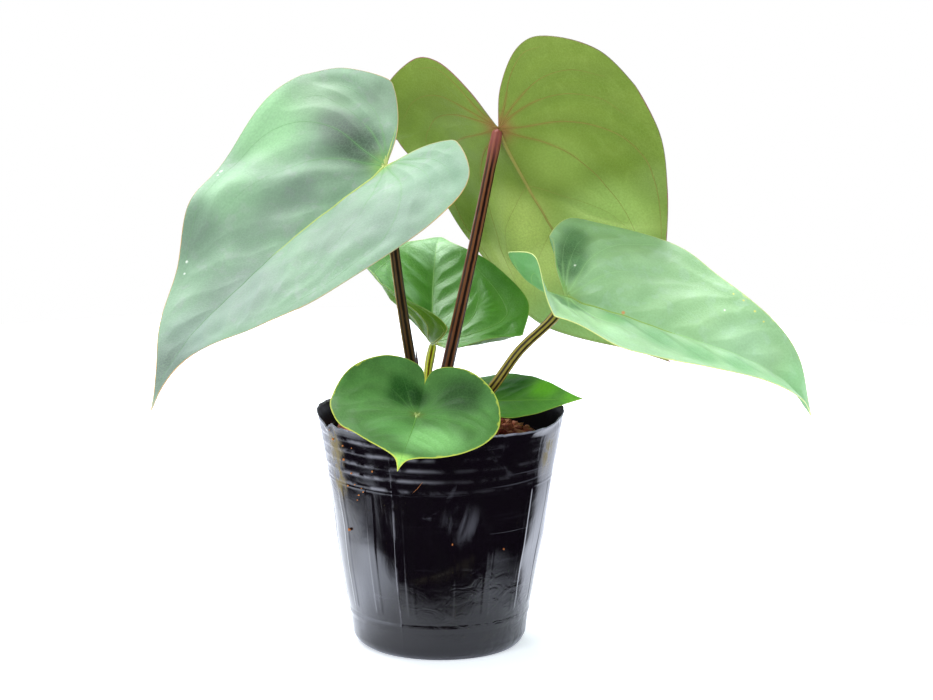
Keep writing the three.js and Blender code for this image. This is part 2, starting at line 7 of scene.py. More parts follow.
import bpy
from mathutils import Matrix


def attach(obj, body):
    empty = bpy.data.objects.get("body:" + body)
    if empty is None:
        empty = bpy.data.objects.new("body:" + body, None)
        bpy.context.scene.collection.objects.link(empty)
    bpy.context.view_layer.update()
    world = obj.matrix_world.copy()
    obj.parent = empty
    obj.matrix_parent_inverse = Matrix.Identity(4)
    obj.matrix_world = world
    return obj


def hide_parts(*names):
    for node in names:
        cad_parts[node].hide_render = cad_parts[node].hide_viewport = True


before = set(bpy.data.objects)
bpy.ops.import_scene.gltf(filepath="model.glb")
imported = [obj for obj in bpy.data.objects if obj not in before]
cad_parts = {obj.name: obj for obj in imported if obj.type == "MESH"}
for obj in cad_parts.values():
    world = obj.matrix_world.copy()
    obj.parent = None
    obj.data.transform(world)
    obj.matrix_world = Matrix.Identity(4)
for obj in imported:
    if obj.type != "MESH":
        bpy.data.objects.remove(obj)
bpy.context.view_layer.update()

import logging
import math
from collections.abc import Callable, Sequence
from dataclasses import dataclass, field
from enum import Enum

import bpy
import numpy as np
from mathutils import Vector

Array = np.ndarray
Colour = tuple[float, float, float]
Place = tuple[float, float, float]
Socket = bpy.types.NodeSocket
Material = bpy.types.Material

MM = 0.001
BODY = "root"
FLAT_MAP = "flat"
FLAT_SCALE = 0.01  # flat leaf millimetres to UV units
WELD_GRID = 1e4  # steps in a millimetre; points on one step are one
WAVES = 6  # sine waves in an uneven field

log = logging.getLogger("anthurium")


# Numbers and arrays


def smooth(value: Array | float, low: float = 0.0, high: float = 1.0) -> Array:
    """Smoothstep: 0 below low, 1 above high, and 3s^2 - 2s^3 of the share s between them.

    Args:
        value: Numbers to map.
        low: Where the step begins.
        high: Where the step ends.

    Returns:
        The mapped numbers, from 0 to 1.
    """
    share = np.clip((np.asarray(value, float) - low) / (high - low), 0.0, 1.0)
    return share * share * (3.0 - 2.0 * share)


def bell(value: Array | float, width: float) -> Array:
    """exp(-(value / width)^2): 1 at 0, and next to nothing beyond two widths."""
    return np.exp(-((value / width) ** 2))


def circle(count: int) -> Array:
    """Angles in radians, spread evenly over one turn."""
    return np.linspace(0.0, 2 * np.pi, count, endpoint=False)


def unit(vectors: Array) -> Array:
    """Vectors along the last axis, each divided by its own length."""
    return vectors / np.maximum(np.linalg.norm(vectors, axis=-1, keepdims=True), 1e-12)


def spline(control: Sequence[Sequence[float]], count: int) -> Array:
    """Centripetal Catmull-Rom curve through the control points, resampled evenly by length.

    Args:
        control: Points that the curve passes through.
        count: Number of points returned.

    Returns:
        The curve's points, one per row.
    """
    knots = np.asarray(control, float)
    ends = np.vstack([2 * knots[0] - knots[1], knots, 2 * knots[-1] - knots[-2]])
    steps = np.sqrt(np.linalg.norm(np.diff(ends, axis=0), axis=1)) + 1e-9
    at = np.concatenate([[0.0], np.cumsum(steps)])
    t = np.linspace(at[1], at[-2], 24 * len(knots))
    i = np.clip(np.searchsorted(at, t, side="right") - 1, 1, len(ends) - 3)
    p0, p1, p2, p3 = ends[i - 1], ends[i], ends[i + 1], ends[i + 2]
    t0, t1, t2, t3 = (at[i + k, None] for k in (-1, 0, 1, 2))
    t = t[:, None]
    a1 = (t1 - t) / (t1 - t0) * p0 + (t - t0) / (t1 - t0) * p1
    a2 = (t2 - t) / (t2 - t1) * p1 + (t - t1) / (t2 - t1) * p2
    a3 = (t3 - t) / (t3 - t2) * p2 + (t - t2) / (t3 - t2) * p3
    b1 = (t2 - t) / (t2 - t0) * a1 + (t - t0) / (t2 - t0) * a2
    b2 = (t3 - t) / (t3 - t1) * a2 + (t - t1) / (t3 - t1) * a3
    curve = (t2 - t) / (t2 - t1) * b1 + (t - t1) / (t2 - t1) * b2
    return resample(curve, count)


def resample(curve: Array, count: int) -> Array:
    """Points evenly spaced by length along a polyline.

    Args:
        curve: The polyline's points, one per row.
        count: Number of points returned.

    Returns:
        The evenly spaced points.
    """
    run = np.concatenate([[0.0], np.cumsum(np.linalg.norm(np.diff(curve, axis=0), axis=1))])
    even = np.linspace(0.0, run[-1], count)
    return np.stack([np.interp(even, run, curve[:, k]) for k in range(curve.shape[1])], axis=-1)


def turn_about(axis: int, degrees: Array | float) -> Array:
    """Rotation matrices about the X, Y or Z axis.

    Args:
        axis: 0, 1 or 2.
        degrees: One angle, or an array of them.

    Returns:
        One matrix, or a stack of them.
    """
    angle = np.radians(np.asarray(degrees, float))
    j, k = (axis + 1) % 3, (axis + 2) % 3
    matrix = np.zeros(angle.shape + (3, 3))
    matrix[..., axis, axis] = 1.0
    matrix[..., j, j] = matrix[..., k, k] = np.cos(angle)
    matrix[..., j, k] = -np.sin(angle)
    matrix[..., k, j] = np.sin(angle)
    return matrix


def uneven(points: Array, size: float, seed: int) -> Array:
    """A slow uneven field: a sum of sine waves of about one size, each in its own seeded direction and phase.

    Args:
        points: Positions, one per row, of any dimension.
        size: Wavelength of the waves.
        seed: Seed of the draws.

    Returns:
        One number per point, mostly from -1 to 1.
    """
    draw = np.random.default_rng(seed)
    ways = unit(draw.normal(size=(WAVES, points.shape[-1]))) * draw.uniform(0.7, 1.5, (WAVES, 1))
    phases = draw.uniform(0.0, 2 * np.pi, WAVES)
    return np.sin(points @ ways.T * (2 * np.pi / size) + phases).sum(axis=-1) / math.sqrt(WAVES / 1.6)


def shade(red: float, green: float, blue: float) -> Colour:
    """A display colour from 0 to 255 as linear light."""
    shares = np.array([red, green, blue]) / 255.0
    linear = np.where(shares <= 0.04045, shares / 12.92, ((shares + 0.055) / 1.055) ** 2.4)
    return tuple(float(v) for v in linear)


def shades(*colours: Colour) -> tuple[Colour, ...]:
    """Several display colours as linear light."""
    return tuple(shade(*colour) for colour in colours)


# Meshes


@dataclass
class Shell:
    """A surface being made: points in millimetres, triangles, and the values that each point carries.

    Its finish counts through the piece's materials, and flat holds each point's place on the flat leaf.
    """

    points: Array
    faces: Array
    finish: int = 0
    values: dict[str, Array] = field(default_factory=dict)
    flat: Array | None = None

    def weld(self) -> "Shell":
        """Makes points at one place one, and leaves out triangles with no area.

        Returns:
            The welded surface.
        """
        keys = np.round(self.points * WELD_GRID).astype(np.int64)
        _, first, back = np.unique(keys, axis=0, return_index=True, return_inverse=True)
        faces = back.reshape(-1)[self.faces]
        a, b, c = faces.T
        faces = faces[(a != b) & (b != c) & (c != a)]
        values = {name: value[first] for name, value in self.values.items()}
        flat = None if self.flat is None else self.flat[first]
        return Shell(self.points[first], faces, self.finish, values, flat)


def lattice(rows: int, columns: int, inside_out: bool = False, closed: bool = False) -> Array:
    """Triangles of a lattice of points, row by row. They face along (next row) x (next column).

    Args:
        rows: Number of rows.
        columns: Number of columns.
        inside_out: Turns the triangles over.
        closed: Joins the last column to the first.

    Returns:
        Index triples, one per row.
    """
    row = np.arange(rows - 1)[:, None] * columns
    near = np.arange(columns if closed else columns - 1)[None, :]
    far = (near + 1) % columns
    a, b, c, d = row + near, row + columns + near, row + columns + far, row + far
    faces = np.concatenate([np.stack([a, b, c], -1).reshape(-1, 3), np.stack([a, c, d], -1).reshape(-1, 3)])
    return faces[:, ::-1] if inside_out else faces


def new_object(name: str, points: Array, faces: Array, finishes: Sequence[Material]) -> bpy.types.Object:
    """Puts a mesh into the scene as an object of its own.

    Args:
        name: The object's name.
        points: Points in millimetres.
        faces: Triangles.
        finishes: Its materials.

    Returns:
        The object.
    """
    mesh = bpy.data.meshes.new(name)
    mesh.from_pydata(points * MM, [], faces)
    for material in finishes:
        mesh.materials.append(material)
    made = bpy.data.objects.new(name, mesh)
    bpy.context.scene.collection.objects.link(made)
    return made


def make_piece(
    name: str, shells: Sequence[Shell], finishes: Sequence[Material], nodes: Sequence[str]
) -> None:
    """Joins shells into one mesh piece that rides on the body and stands for solids of the frame.

    Args:
        name: The piece's name.
        shells: Its surfaces, in millimetres.
        finishes: Its materials, which each shell's finish counts through.
        nodes: Solids that it stands for.
    """
    shells = [shell.weld() for shell in shells]
    starts = np.cumsum([0] + [len(shell.points) for shell in shells])
    faces = np.concatenate([shell.faces + start for shell, start in zip(shells, starts)])
    piece = new_object(name, np.concatenate([shell.points for shell in shells]), faces, finishes)
    mesh = piece.data
    indices = np.concatenate([np.full(len(shell.faces), shell.finish) for shell in shells])
    mesh.polygons.foreach_set("material_index", indices.astype(np.int32))
    mesh.polygons.foreach_set("use_smooth", np.ones(len(faces), bool))
    for key in sorted({key for shell in shells for key in shell.values}):
        layer = mesh.attributes.new(key, "FLOAT", "POINT")
        parts = [shell.values.get(key, np.zeros(len(shell.points))) for shell in shells]
        layer.data.foreach_set("value", np.concatenate(parts).astype(np.float32))
    if any(shell.flat is not None for shell in shells):
        parts = [np.zeros((len(s.points), 2)) if s.flat is None else s.flat * FLAT_SCALE for s in shells]
        corners = np.zeros(len(mesh.loops), np.int32)
        mesh.loops.foreach_get("vertex_index", corners)
        uv = np.concatenate(parts)[corners].astype(np.float32)
        mesh.uv_layers.new(name=FLAT_MAP).data.foreach_set("uv", uv.ravel())
    mesh.update()
    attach(piece, BODY)
    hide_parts(*nodes)
    log.info("%s: %d triangles", name, len(faces))


def carried_frames(path: Array) -> tuple[Array, Array, Array]:
    """Directions along a path and two across it that never spin: each step turns them by the least angle.

    Args:
        path: The path's points, one per row.

    Returns:
        The directions ahead, across, and across both.
    """
    ahead = unit(np.gradient(path, axis=0))
    across = np.zeros_like(ahead)
    start = np.array([1.0, 0.0, 0.0]) if abs(ahead[0, 0]) < 0.9 else np.array([0.0, 1.0, 0.0])
    across[0] = unit(start - ahead[0] * (start @ ahead[0]))
    for i in range(1, len(path)):
        across[i] = unit(across[i - 1] - ahead[i] * (across[i - 1] @ ahead[i]))
    return ahead, across, np.cross(ahead, across)


def rod(
    path: Array, radius: Callable[[Array, Array], Array], sides: int, finish: int = 0, squash: float = 1.0
) -> Shell:
    """A closed rod, drawn in at both ends.

    Its rings lie at path + radius(share, angle) x (across x cos(angle) + squash x other x sin(angle)).

    Args:
        path: The rod's middle line.
        radius: Radius from the share of the path and the angle in radians.
        sides: Points round a ring.
        finish: Index of its material.
        squash: Thickness in the second cross direction as a share of the first.

    Returns:
        The rod, carrying share and angle as values.
    """
    _, across, other = carried_frames(path)
    share = np.linspace(0.0, 1.0, len(path))[:, None]
    angle = circle(sides)[None, :]
    reach = radius(share, angle) * np.ones((len(path), sides))
    offset = across[:, None] * np.cos(angle)[..., None] + squash * other[:, None] * np.sin(angle)[..., None]
    rings = path[:, None] + offset * reach[..., None]
    rings = np.concatenate([np.repeat(path[:1, None], sides, 1), rings, np.repeat(path[-1:, None], sides, 1)])
    shares = np.concatenate([[0.0], share[:, 0], [1.0]])
    values = {"share": np.repeat(shares, sides), "angle": np.tile(angle[0] / (2 * np.pi), len(path) + 2)}
    faces = lattice(len(path) + 2, sides, inside_out=True, closed=True)
    return Shell(rings.reshape(-1, 3), faces, finish, values)


def block(cuts: int) -> tuple[Array, Array]:
    """A rounded block of unit size: a cube's faces cut into squares, with corners drawn in.

    Args:
        cuts: Squares along a side.

    Returns:
        Points and triangles.
    """
    line = np.linspace(-1, 1, cuts + 1)
    a, b = (grid.ravel() for grid in np.meshgrid(line, line, indexing="ij"))
    points, faces = [], []
    for axis in range(3):
        for sign in (1, -1):
            side = np.zeros((len(a), 3))
            side[:, axis], side[:, (axis + 1) % 3], side[:, (axis + 2) % 3] = sign, a, b
            faces.append(lattice(cuts + 1, cuts + 1, inside_out=sign < 0) + len(a) * len(points))
            points.append(side)
    shell = Shell(np.concatenate(points), np.concatenate(faces)).weld()
    return 0.55 * shell.points + 0.45 * unit(shell.points) * 1.3, shell.faces


def copies(points: Array, faces: Array, finish: int, values: dict[str, Array]) -> Shell:
    """Many copies of one small mesh as one shell.

    Args:
        points: Points by copy, vertex and coordinate.
        faces: Triangles of one copy.
        finish: Index of the material.
        values: Values of all points in turn.

    Returns:
        The shell.
    """
    starts = np.arange(len(points))[:, None, None] * points.shape[1]
    return Shell(points.reshape(-1, 3), (faces[None] + starts).reshape(-1, 3), finish, values)


def threads(paths: Array, radius: Array, finish: int, tone: Array) -> Shell:
    """Many thin three-sided threads, drawn to a point at both ends.

    Args:
        paths: Points by thread, step and coordinate.
        radius: Radius of each thread.
        finish: Index of the material.
        tone: Tone of each thread.

    Returns:
        The shell.
    """
    count, steps, _ = paths.shape
    ahead = unit(np.gradient(paths, axis=1))
    across = unit(np.cross(ahead, np.array([0.0, 0.0, 1.0]) + 0.01 * ahead[..., ::-1]))
    other = np.cross(ahead, across)
    taper = np.sin(np.linspace(0, np.pi, steps)) ** 0.5
    taper[[0, -1]] = 0.02
    reach = (radius[:, None] * taper)[..., None]
    rings = [paths + reach * (across * math.cos(turn) + other * math.sin(turn)) for turn in circle(3)]
    points = np.stack(rings, axis=2).reshape(count, steps * 3, 3)
    faces = lattice(steps, 3, inside_out=True, closed=True)
    ends = np.array([[0, 2, 1], [steps * 3 - 3, steps * 3 - 2, steps * 3 - 1]])
    return copies(points, np.concatenate([faces, ends]), finish, {"tone": np.repeat(tone, steps * 3)})


# Finishes


class Wiring:
    """Adds nodes to a node tree and joins their sockets."""

    def __init__(self, tree: bpy.types.NodeTree) -> None:
        """Empties the tree.

        Args:
            tree: The tree that is wired.
        """
        self.tree = tree
        tree.nodes.clear()

    def feed(self, socket: Socket, value: object) -> None:
        """Joins a socket to another one, or gives it a value of its own.

        Args:
            socket: The input.
            value: A socket, a number, a vector, or a colour with or without its alpha.
        """
        if isinstance(value, bpy.types.NodeSocket):
            self.tree.links.new(value, socket)
        elif isinstance(value, (tuple, list)) and len(value) == 3 and socket.type == "RGBA":
            socket.default_value = (*value, 1.0)
        else:
            socket.default_value = value

    def node(self, kind: str, inputs: dict[str | int, object], **settings: object) -> bpy.types.Node:
        """Adds a node.

        Args:
            kind: Node type.
            inputs: Values or sockets by input name or index.
            **settings: Attributes of the node.

        Returns:
            The node.
        """
        made = self.tree.nodes.new(kind)
        for key, value in settings.items():
            setattr(made, key, value)
        for key, value in inputs.items():
            self.feed(made.inputs[key], value)
        return made

    def math(self, operation: str, a: object, b: object = 0.0, c: object = 0.0) -> Socket:
        """One sum on numbers, such as ADD, or MULTIPLY_ADD for a x b + c."""
        return self.node("ShaderNodeMath", {0: a, 1: b, 2: c}, operation=operation).outputs[0]

    def times(self, a: object, b: object) -> Socket:
        """The product of two numbers."""
        return self.math("MULTIPLY", a, b)

    def step(self, value: object, low: float, high: float, start: object = 0.0, end: object = 1.0) -> Socket:
        """Smooth step of a number from low to high, giving start to end."""
        inputs = {"Value": value, "From Min": low, "From Max": high, "To Min": start, "To Max": end}
        return self.node("ShaderNodeMapRange", inputs, interpolation_type="SMOOTHSTEP").outputs[0]

    def axes(self, vector: Socket) -> tuple[Socket, ...]:
        """The three numbers of a vector."""
        return tuple(self.node("ShaderNodeSeparateXYZ", {0: vector}).outputs)


class Bench(Wiring):
    """Builds one material's node tree around a single principled shader."""

    def __init__(self, name: str) -> None:
        """Makes a material that has only its shader.

        Args:
            name: The material's name.
        """
        self.material = bpy.data.materials.new(name)
        self.material.use_nodes = True
        super().__init__(self.material.node_tree)
        self.shader = self.node("ShaderNodeBsdfPrincipled", {})
        self.node("ShaderNodeOutputMaterial", {"Surface": self.shader.outputs[0]})

    def blend(self, factor: object, a: object, b: object) -> Socket:
        """Mixes two colours: the factor is the share of the second one."""
        return self.node("ShaderNodeMix", {0: factor, 6: a, 7: b}, data_type="RGBA").outputs[2]

    def layered(self, ground: object, *layers: tuple[object, object]) -> Socket:
        """Lays colours over a ground one after another.

        Args:
            ground: The first colour.
            *layers: Pairs of a cover from 0 to 1 and the colour that it lays on.

        Returns:
            The colour on top.
        """
        for cover, colour in layers:
            ground = self.blend(cover, ground, colour)
        return ground

    def value(self, name: str) -> Socket:
        """A number that the mesh's points carry."""
        return self.node("ShaderNodeAttribute", {}, attribute_name=name).outputs["Fac"]

    def flat(self) -> Socket:
        """Place on the flat leaf, in its own map."""
        return self.node("ShaderNodeUVMap", {}, uv_map=FLAT_MAP).outputs[0]

    def place(self) -> Socket:
        """Place in the object's own frame, in metres."""
        return self.node("ShaderNodeTexCoord", {}).outputs["Object"]

    def stretch(self, vector: Socket, scale: Sequence[float], shift: Sequence[float] = (0, 0, 0)) -> Socket:
        """A place scaled and shifted along each axis."""
        inputs = {"Vector": vector, "Scale": tuple(scale), "Location": tuple(shift)}
        return self.node("ShaderNodeMapping", inputs).outputs[0]

    def noise(self, vector: Socket, scale: float, detail: float = 3.0, warp: float = 0.0) -> Socket:
        """Cloudy noise, mostly from 0.3 to 0.7, with scale clouds to a unit."""
        inputs = {"Vector": vector, "Scale": scale, "Detail": detail, "Distortion": warp}
        return self.node("ShaderNodeTexNoise", inputs).outputs["Fac"]

    def cells(self, vector: Socket, scale: float) -> Socket:
        """Distance to the edge of irregular cells, as in a leaf's finest net of veins."""
        inputs = {"Vector": vector, "Scale": scale}
        return self.node("ShaderNodeTexVoronoi", inputs, feature="DISTANCE_TO_EDGE").outputs["Distance"]

    def dots(self, vector: Socket, scale: float) -> Socket:
        """Distance to the middle of irregular cells."""
        return self.node("ShaderNodeTexVoronoi", {"Vector": vector, "Scale": scale}).outputs["Distance"]

    def near(self, vector: Socket, spot: Sequence[float], reach: float) -> Socket:
        """1 within a quarter of the reach from a spot, falling smoothly to 0 at its reach."""
        node = self.node("ShaderNodeVectorMath", {0: vector, 1: tuple(spot)}, operation="DISTANCE")
        return self.step(node.outputs["Value"], 0.25 * reach, reach, 1.0, 0.0)

    def bumps(self, height: Socket, depth: float, strength: float = 1.0) -> Socket:
        """A normal bent by a height that runs over depth metres."""
        inputs = {"Height": height, "Distance": depth, "Strength": strength}
        return self.node("ShaderNodeBump", inputs).outputs[0]

    def done(self, **sockets: object) -> Material:
        """Feeds the shader.

        Args:
            **sockets: Values by the shader's input names, with _ for each space.

        Returns:
            The material.
        """
        for key, value in sockets.items():
            self.feed(self.shader.inputs[key.replace("_", " ")], value)
        return self.material


@dataclass(frozen=True)
class Fleck:
    """A fleck, or a soft spot of painted light and shade, at a place on the flat leaf, in millimetres, with its
    display colour.
    """

    along: float
    aside: float
    reach: float
    colour: Colour
    strength: float = 1.0

    def layer(self, bench: Bench, flat: Socket, share: object) -> tuple[Socket, Colour]:
        """Cover and colour: the cover is a share at the middle, and 0 at the reach."""
        spot = (self.along * FLAT_SCALE, self.aside * FLAT_SCALE, 0.0)
        return bench.times(bench.near(flat, spot, self.reach * FLAT_SCALE), share), shade(*self.colour)


@dataclass(frozen=True)
class LeafFinish:
    """Finish of one face of a leaf: clouded greens, a net of fine veins, and coloured margin and veins.

    Clouding, yellowing of the margin, net, lines (how pale raised veins are), painted shade in the creases along
    the veins and mottling are strengths. Rim is the coloured edge's width, and bloom the mottling's colour. Soft
    spots of painted light and shade lie under the net of veins, and flecks over all.
    """

    name: str
    base: Colour
    deep: Colour
    pale: Colour
    vein: Colour
    margin: Colour
    throat: Colour
    midrib: Colour
    clouding: float = 1.0
    rim: float = 0.4
    # Soft spots of painted light and shade.
    painted_light_and_dust_patches: tuple[Fleck, ...] = ()
    yellowing: float = 0.0
    net: float = 0.5
    roughness: float = 0.45
    sheen: float = 0.0
    coat: float = 0.0
    shine: float = 0.5
    lines: float = 0.3
    # Strength of the painted shade in the creases along the veins.
    crease_shade: float = 0.0
    mottling: float = 0.0
    bloom: Colour = (0.4, 0.4, 0.42)
    flecks: tuple[Fleck, ...] = ()

    def greens(self, b: Bench, flat: Socket, slow: Socket, quick: Socket) -> Socket:
        """The greens, mixed by clouds, with painted shade along the veins, under mottling and spots of painted
        light and shade.

        Args:
            b: The material's bench.
            flat: Place on the flat leaf.
            slow: Slow clouds.
            quick: Quick clouds.

        Returns:
            The colour.
        """
        panel = b.value("panel")
        mottle = b.noise(b.stretch(flat, (1.0, 1.0, 1.0), (0.7, 2.3, 0.0)), 17.0, 5.0, 0.5)
        return b.layered(
            self.base,
            (b.step(slow, 0.30, 0.62, 0.45 * self.clouding, 0.0), self.deep),
            (b.step(quick, 0.45, 0.75, 0.0, 0.28 * self.clouding), self.pale),
            # Painted shade in the creases along the veins.
            (b.step(panel, 0.0, 0.7, self.crease_shade, 0.0), self.deep),
            (b.step(panel, 0.0, 1.0, 0.22 * (1.0 - self.crease_shade), 0.0), self.pale),
            (b.step(mottle, 0.5, 0.68, 0.0, self.mottling), self.bloom),
            # Soft spots of painted light and shade.
            *(patch.layer(b, flat, patch.strength) for patch in self.painted_light_and_dust_patches),
        )

    def yellowed(self, b: Bench, flat: Socket) -> Socket:
        """Cover of the yellowing, which runs in from the margin in a ragged band."""
        ragged = b.step(b.noise(flat, 22.0, 3.0), 0.5, 0.75)
        far = b.math("DIVIDE", b.value("margin"), b.math("MULTIPLY_ADD", ragged, 2.6 * self.yellowing, 0.4))
        return b.step(far, 0.3, 1.4, 0.75 * min(1.0, 2 * self.yellowing), 0.0)

    def make(self) -> Material:
        """Builds the material: greens, under fine veins, the throat, the margin, raised veins and flecks.

        Returns:
            The material.
        """
        b = Bench(self.name)
        flat = b.flat()
        slow = b.noise(flat, 2.6, 2.0, 0.4)
        quick = b.noise(b.stretch(flat, (1.0, 1.6, 1.0), (3.1, 1.7, 0.0)), 8.5, 4.0, 0.6)
        fine = b.noise(flat, 95.0, 2.0)
        net = b.cells(b.stretch(flat, (1.0, 1.25, 1.0)), 62.0)
        rim = b.times(
            b.step(b.value("edge"), 0.3 * self.rim, self.rim, 0.9, 0.0), b.step(slow, 0.4, 0.6, 0.4, 1.0)
        )
        speckled = b.step(fine, 0.3, 0.5, 0.4, 1.0)
        colour = b.layered(
            self.greens(b, flat, slow, quick),
            (b.times(b.step(net, 0.0, 0.11, 1.0, 0.0), 0.22 * self.net), self.pale),
            (b.step(fine, 0.35, 0.65, 0.0, 0.16), self.deep),
            (b.times(b.value("throat"), 0.9), self.throat),
            (self.yellowed(b, flat), self.margin),
            (rim, self.margin),
            (b.times(b.value("line"), self.lines), self.pale),
            (b.value("vein"), self.vein),
            (b.value("midrib"), self.midrib),
            *(fleck.layer(b, flat, speckled) for fleck in self.flecks),
        )
        height = b.math("MULTIPLY_ADD", fine, 0.5, b.step(net, 0.0, 0.2))
        return b.done(
            Base_Color=colour,
            Roughness=b.step(quick, 0.35, 0.7, self.roughness - 0.06, self.roughness + 0.07),
            Normal=b.bumps(height, 0.00012, 0.5 * self.net),
            Sheen_Weight=self.sheen,
            Sheen_Roughness=0.55,
            Sheen_Tint=(0.88, 1.0, 0.94, 1.0),
            Coat_Weight=self.coat,
            Coat_Roughness=0.28,
            Specular_IOR_Level=self.shine,
        )


@dataclass(frozen=True)
class StalkFinish:
    """Finish of a grooved stalk: colours of its ridges, its grooves, its top, and painted light on the side that
    faces left.
    """

    name: str
    ridge: Colour
    groove: Colour
    top: Colour
    left: Colour
    roughness: float = 0.38

    def make(self) -> Material:
        """Builds the material from the ridge, share and left values that the stalk carries.

        Returns:
            The material.
        """
        b = Bench(self.name)
        place = b.place()
        streaks = b.noise(b.stretch(place, (900.0, 900.0, 60.0)), 1.0, 3.0)
        ridge = b.math("MULTIPLY_ADD", b.math("SUBTRACT", streaks, 0.5), 0.5, b.value("ridge"))
        pores = b.step(b.dots(b.stretch(place, (1.0, 1.0, 0.45)), 520.0), 0.06, 0.16, 0.25, 0.0)
        colour = b.layered(
            self.groove,
            (b.step(ridge, 0.35, 0.85), self.ridge),
            # Painted light on the side that faces left.
            (b.times(b.value("left"), 0.9), self.left),
            (b.step(b.value("share"), 0.86, 0.99, 0.0, 0.8), self.top),
            (pores, self.ridge),
        )
        return b.done(
            Base_Color=colour,
            Roughness=b.step(streaks, 0.3, 0.7, self.roughness - 0.08, self.roughness + 0.12),
            Normal=b.bumps(streaks, 0.00015, 0.6),
            Specular_IOR_Level=0.3,
        )


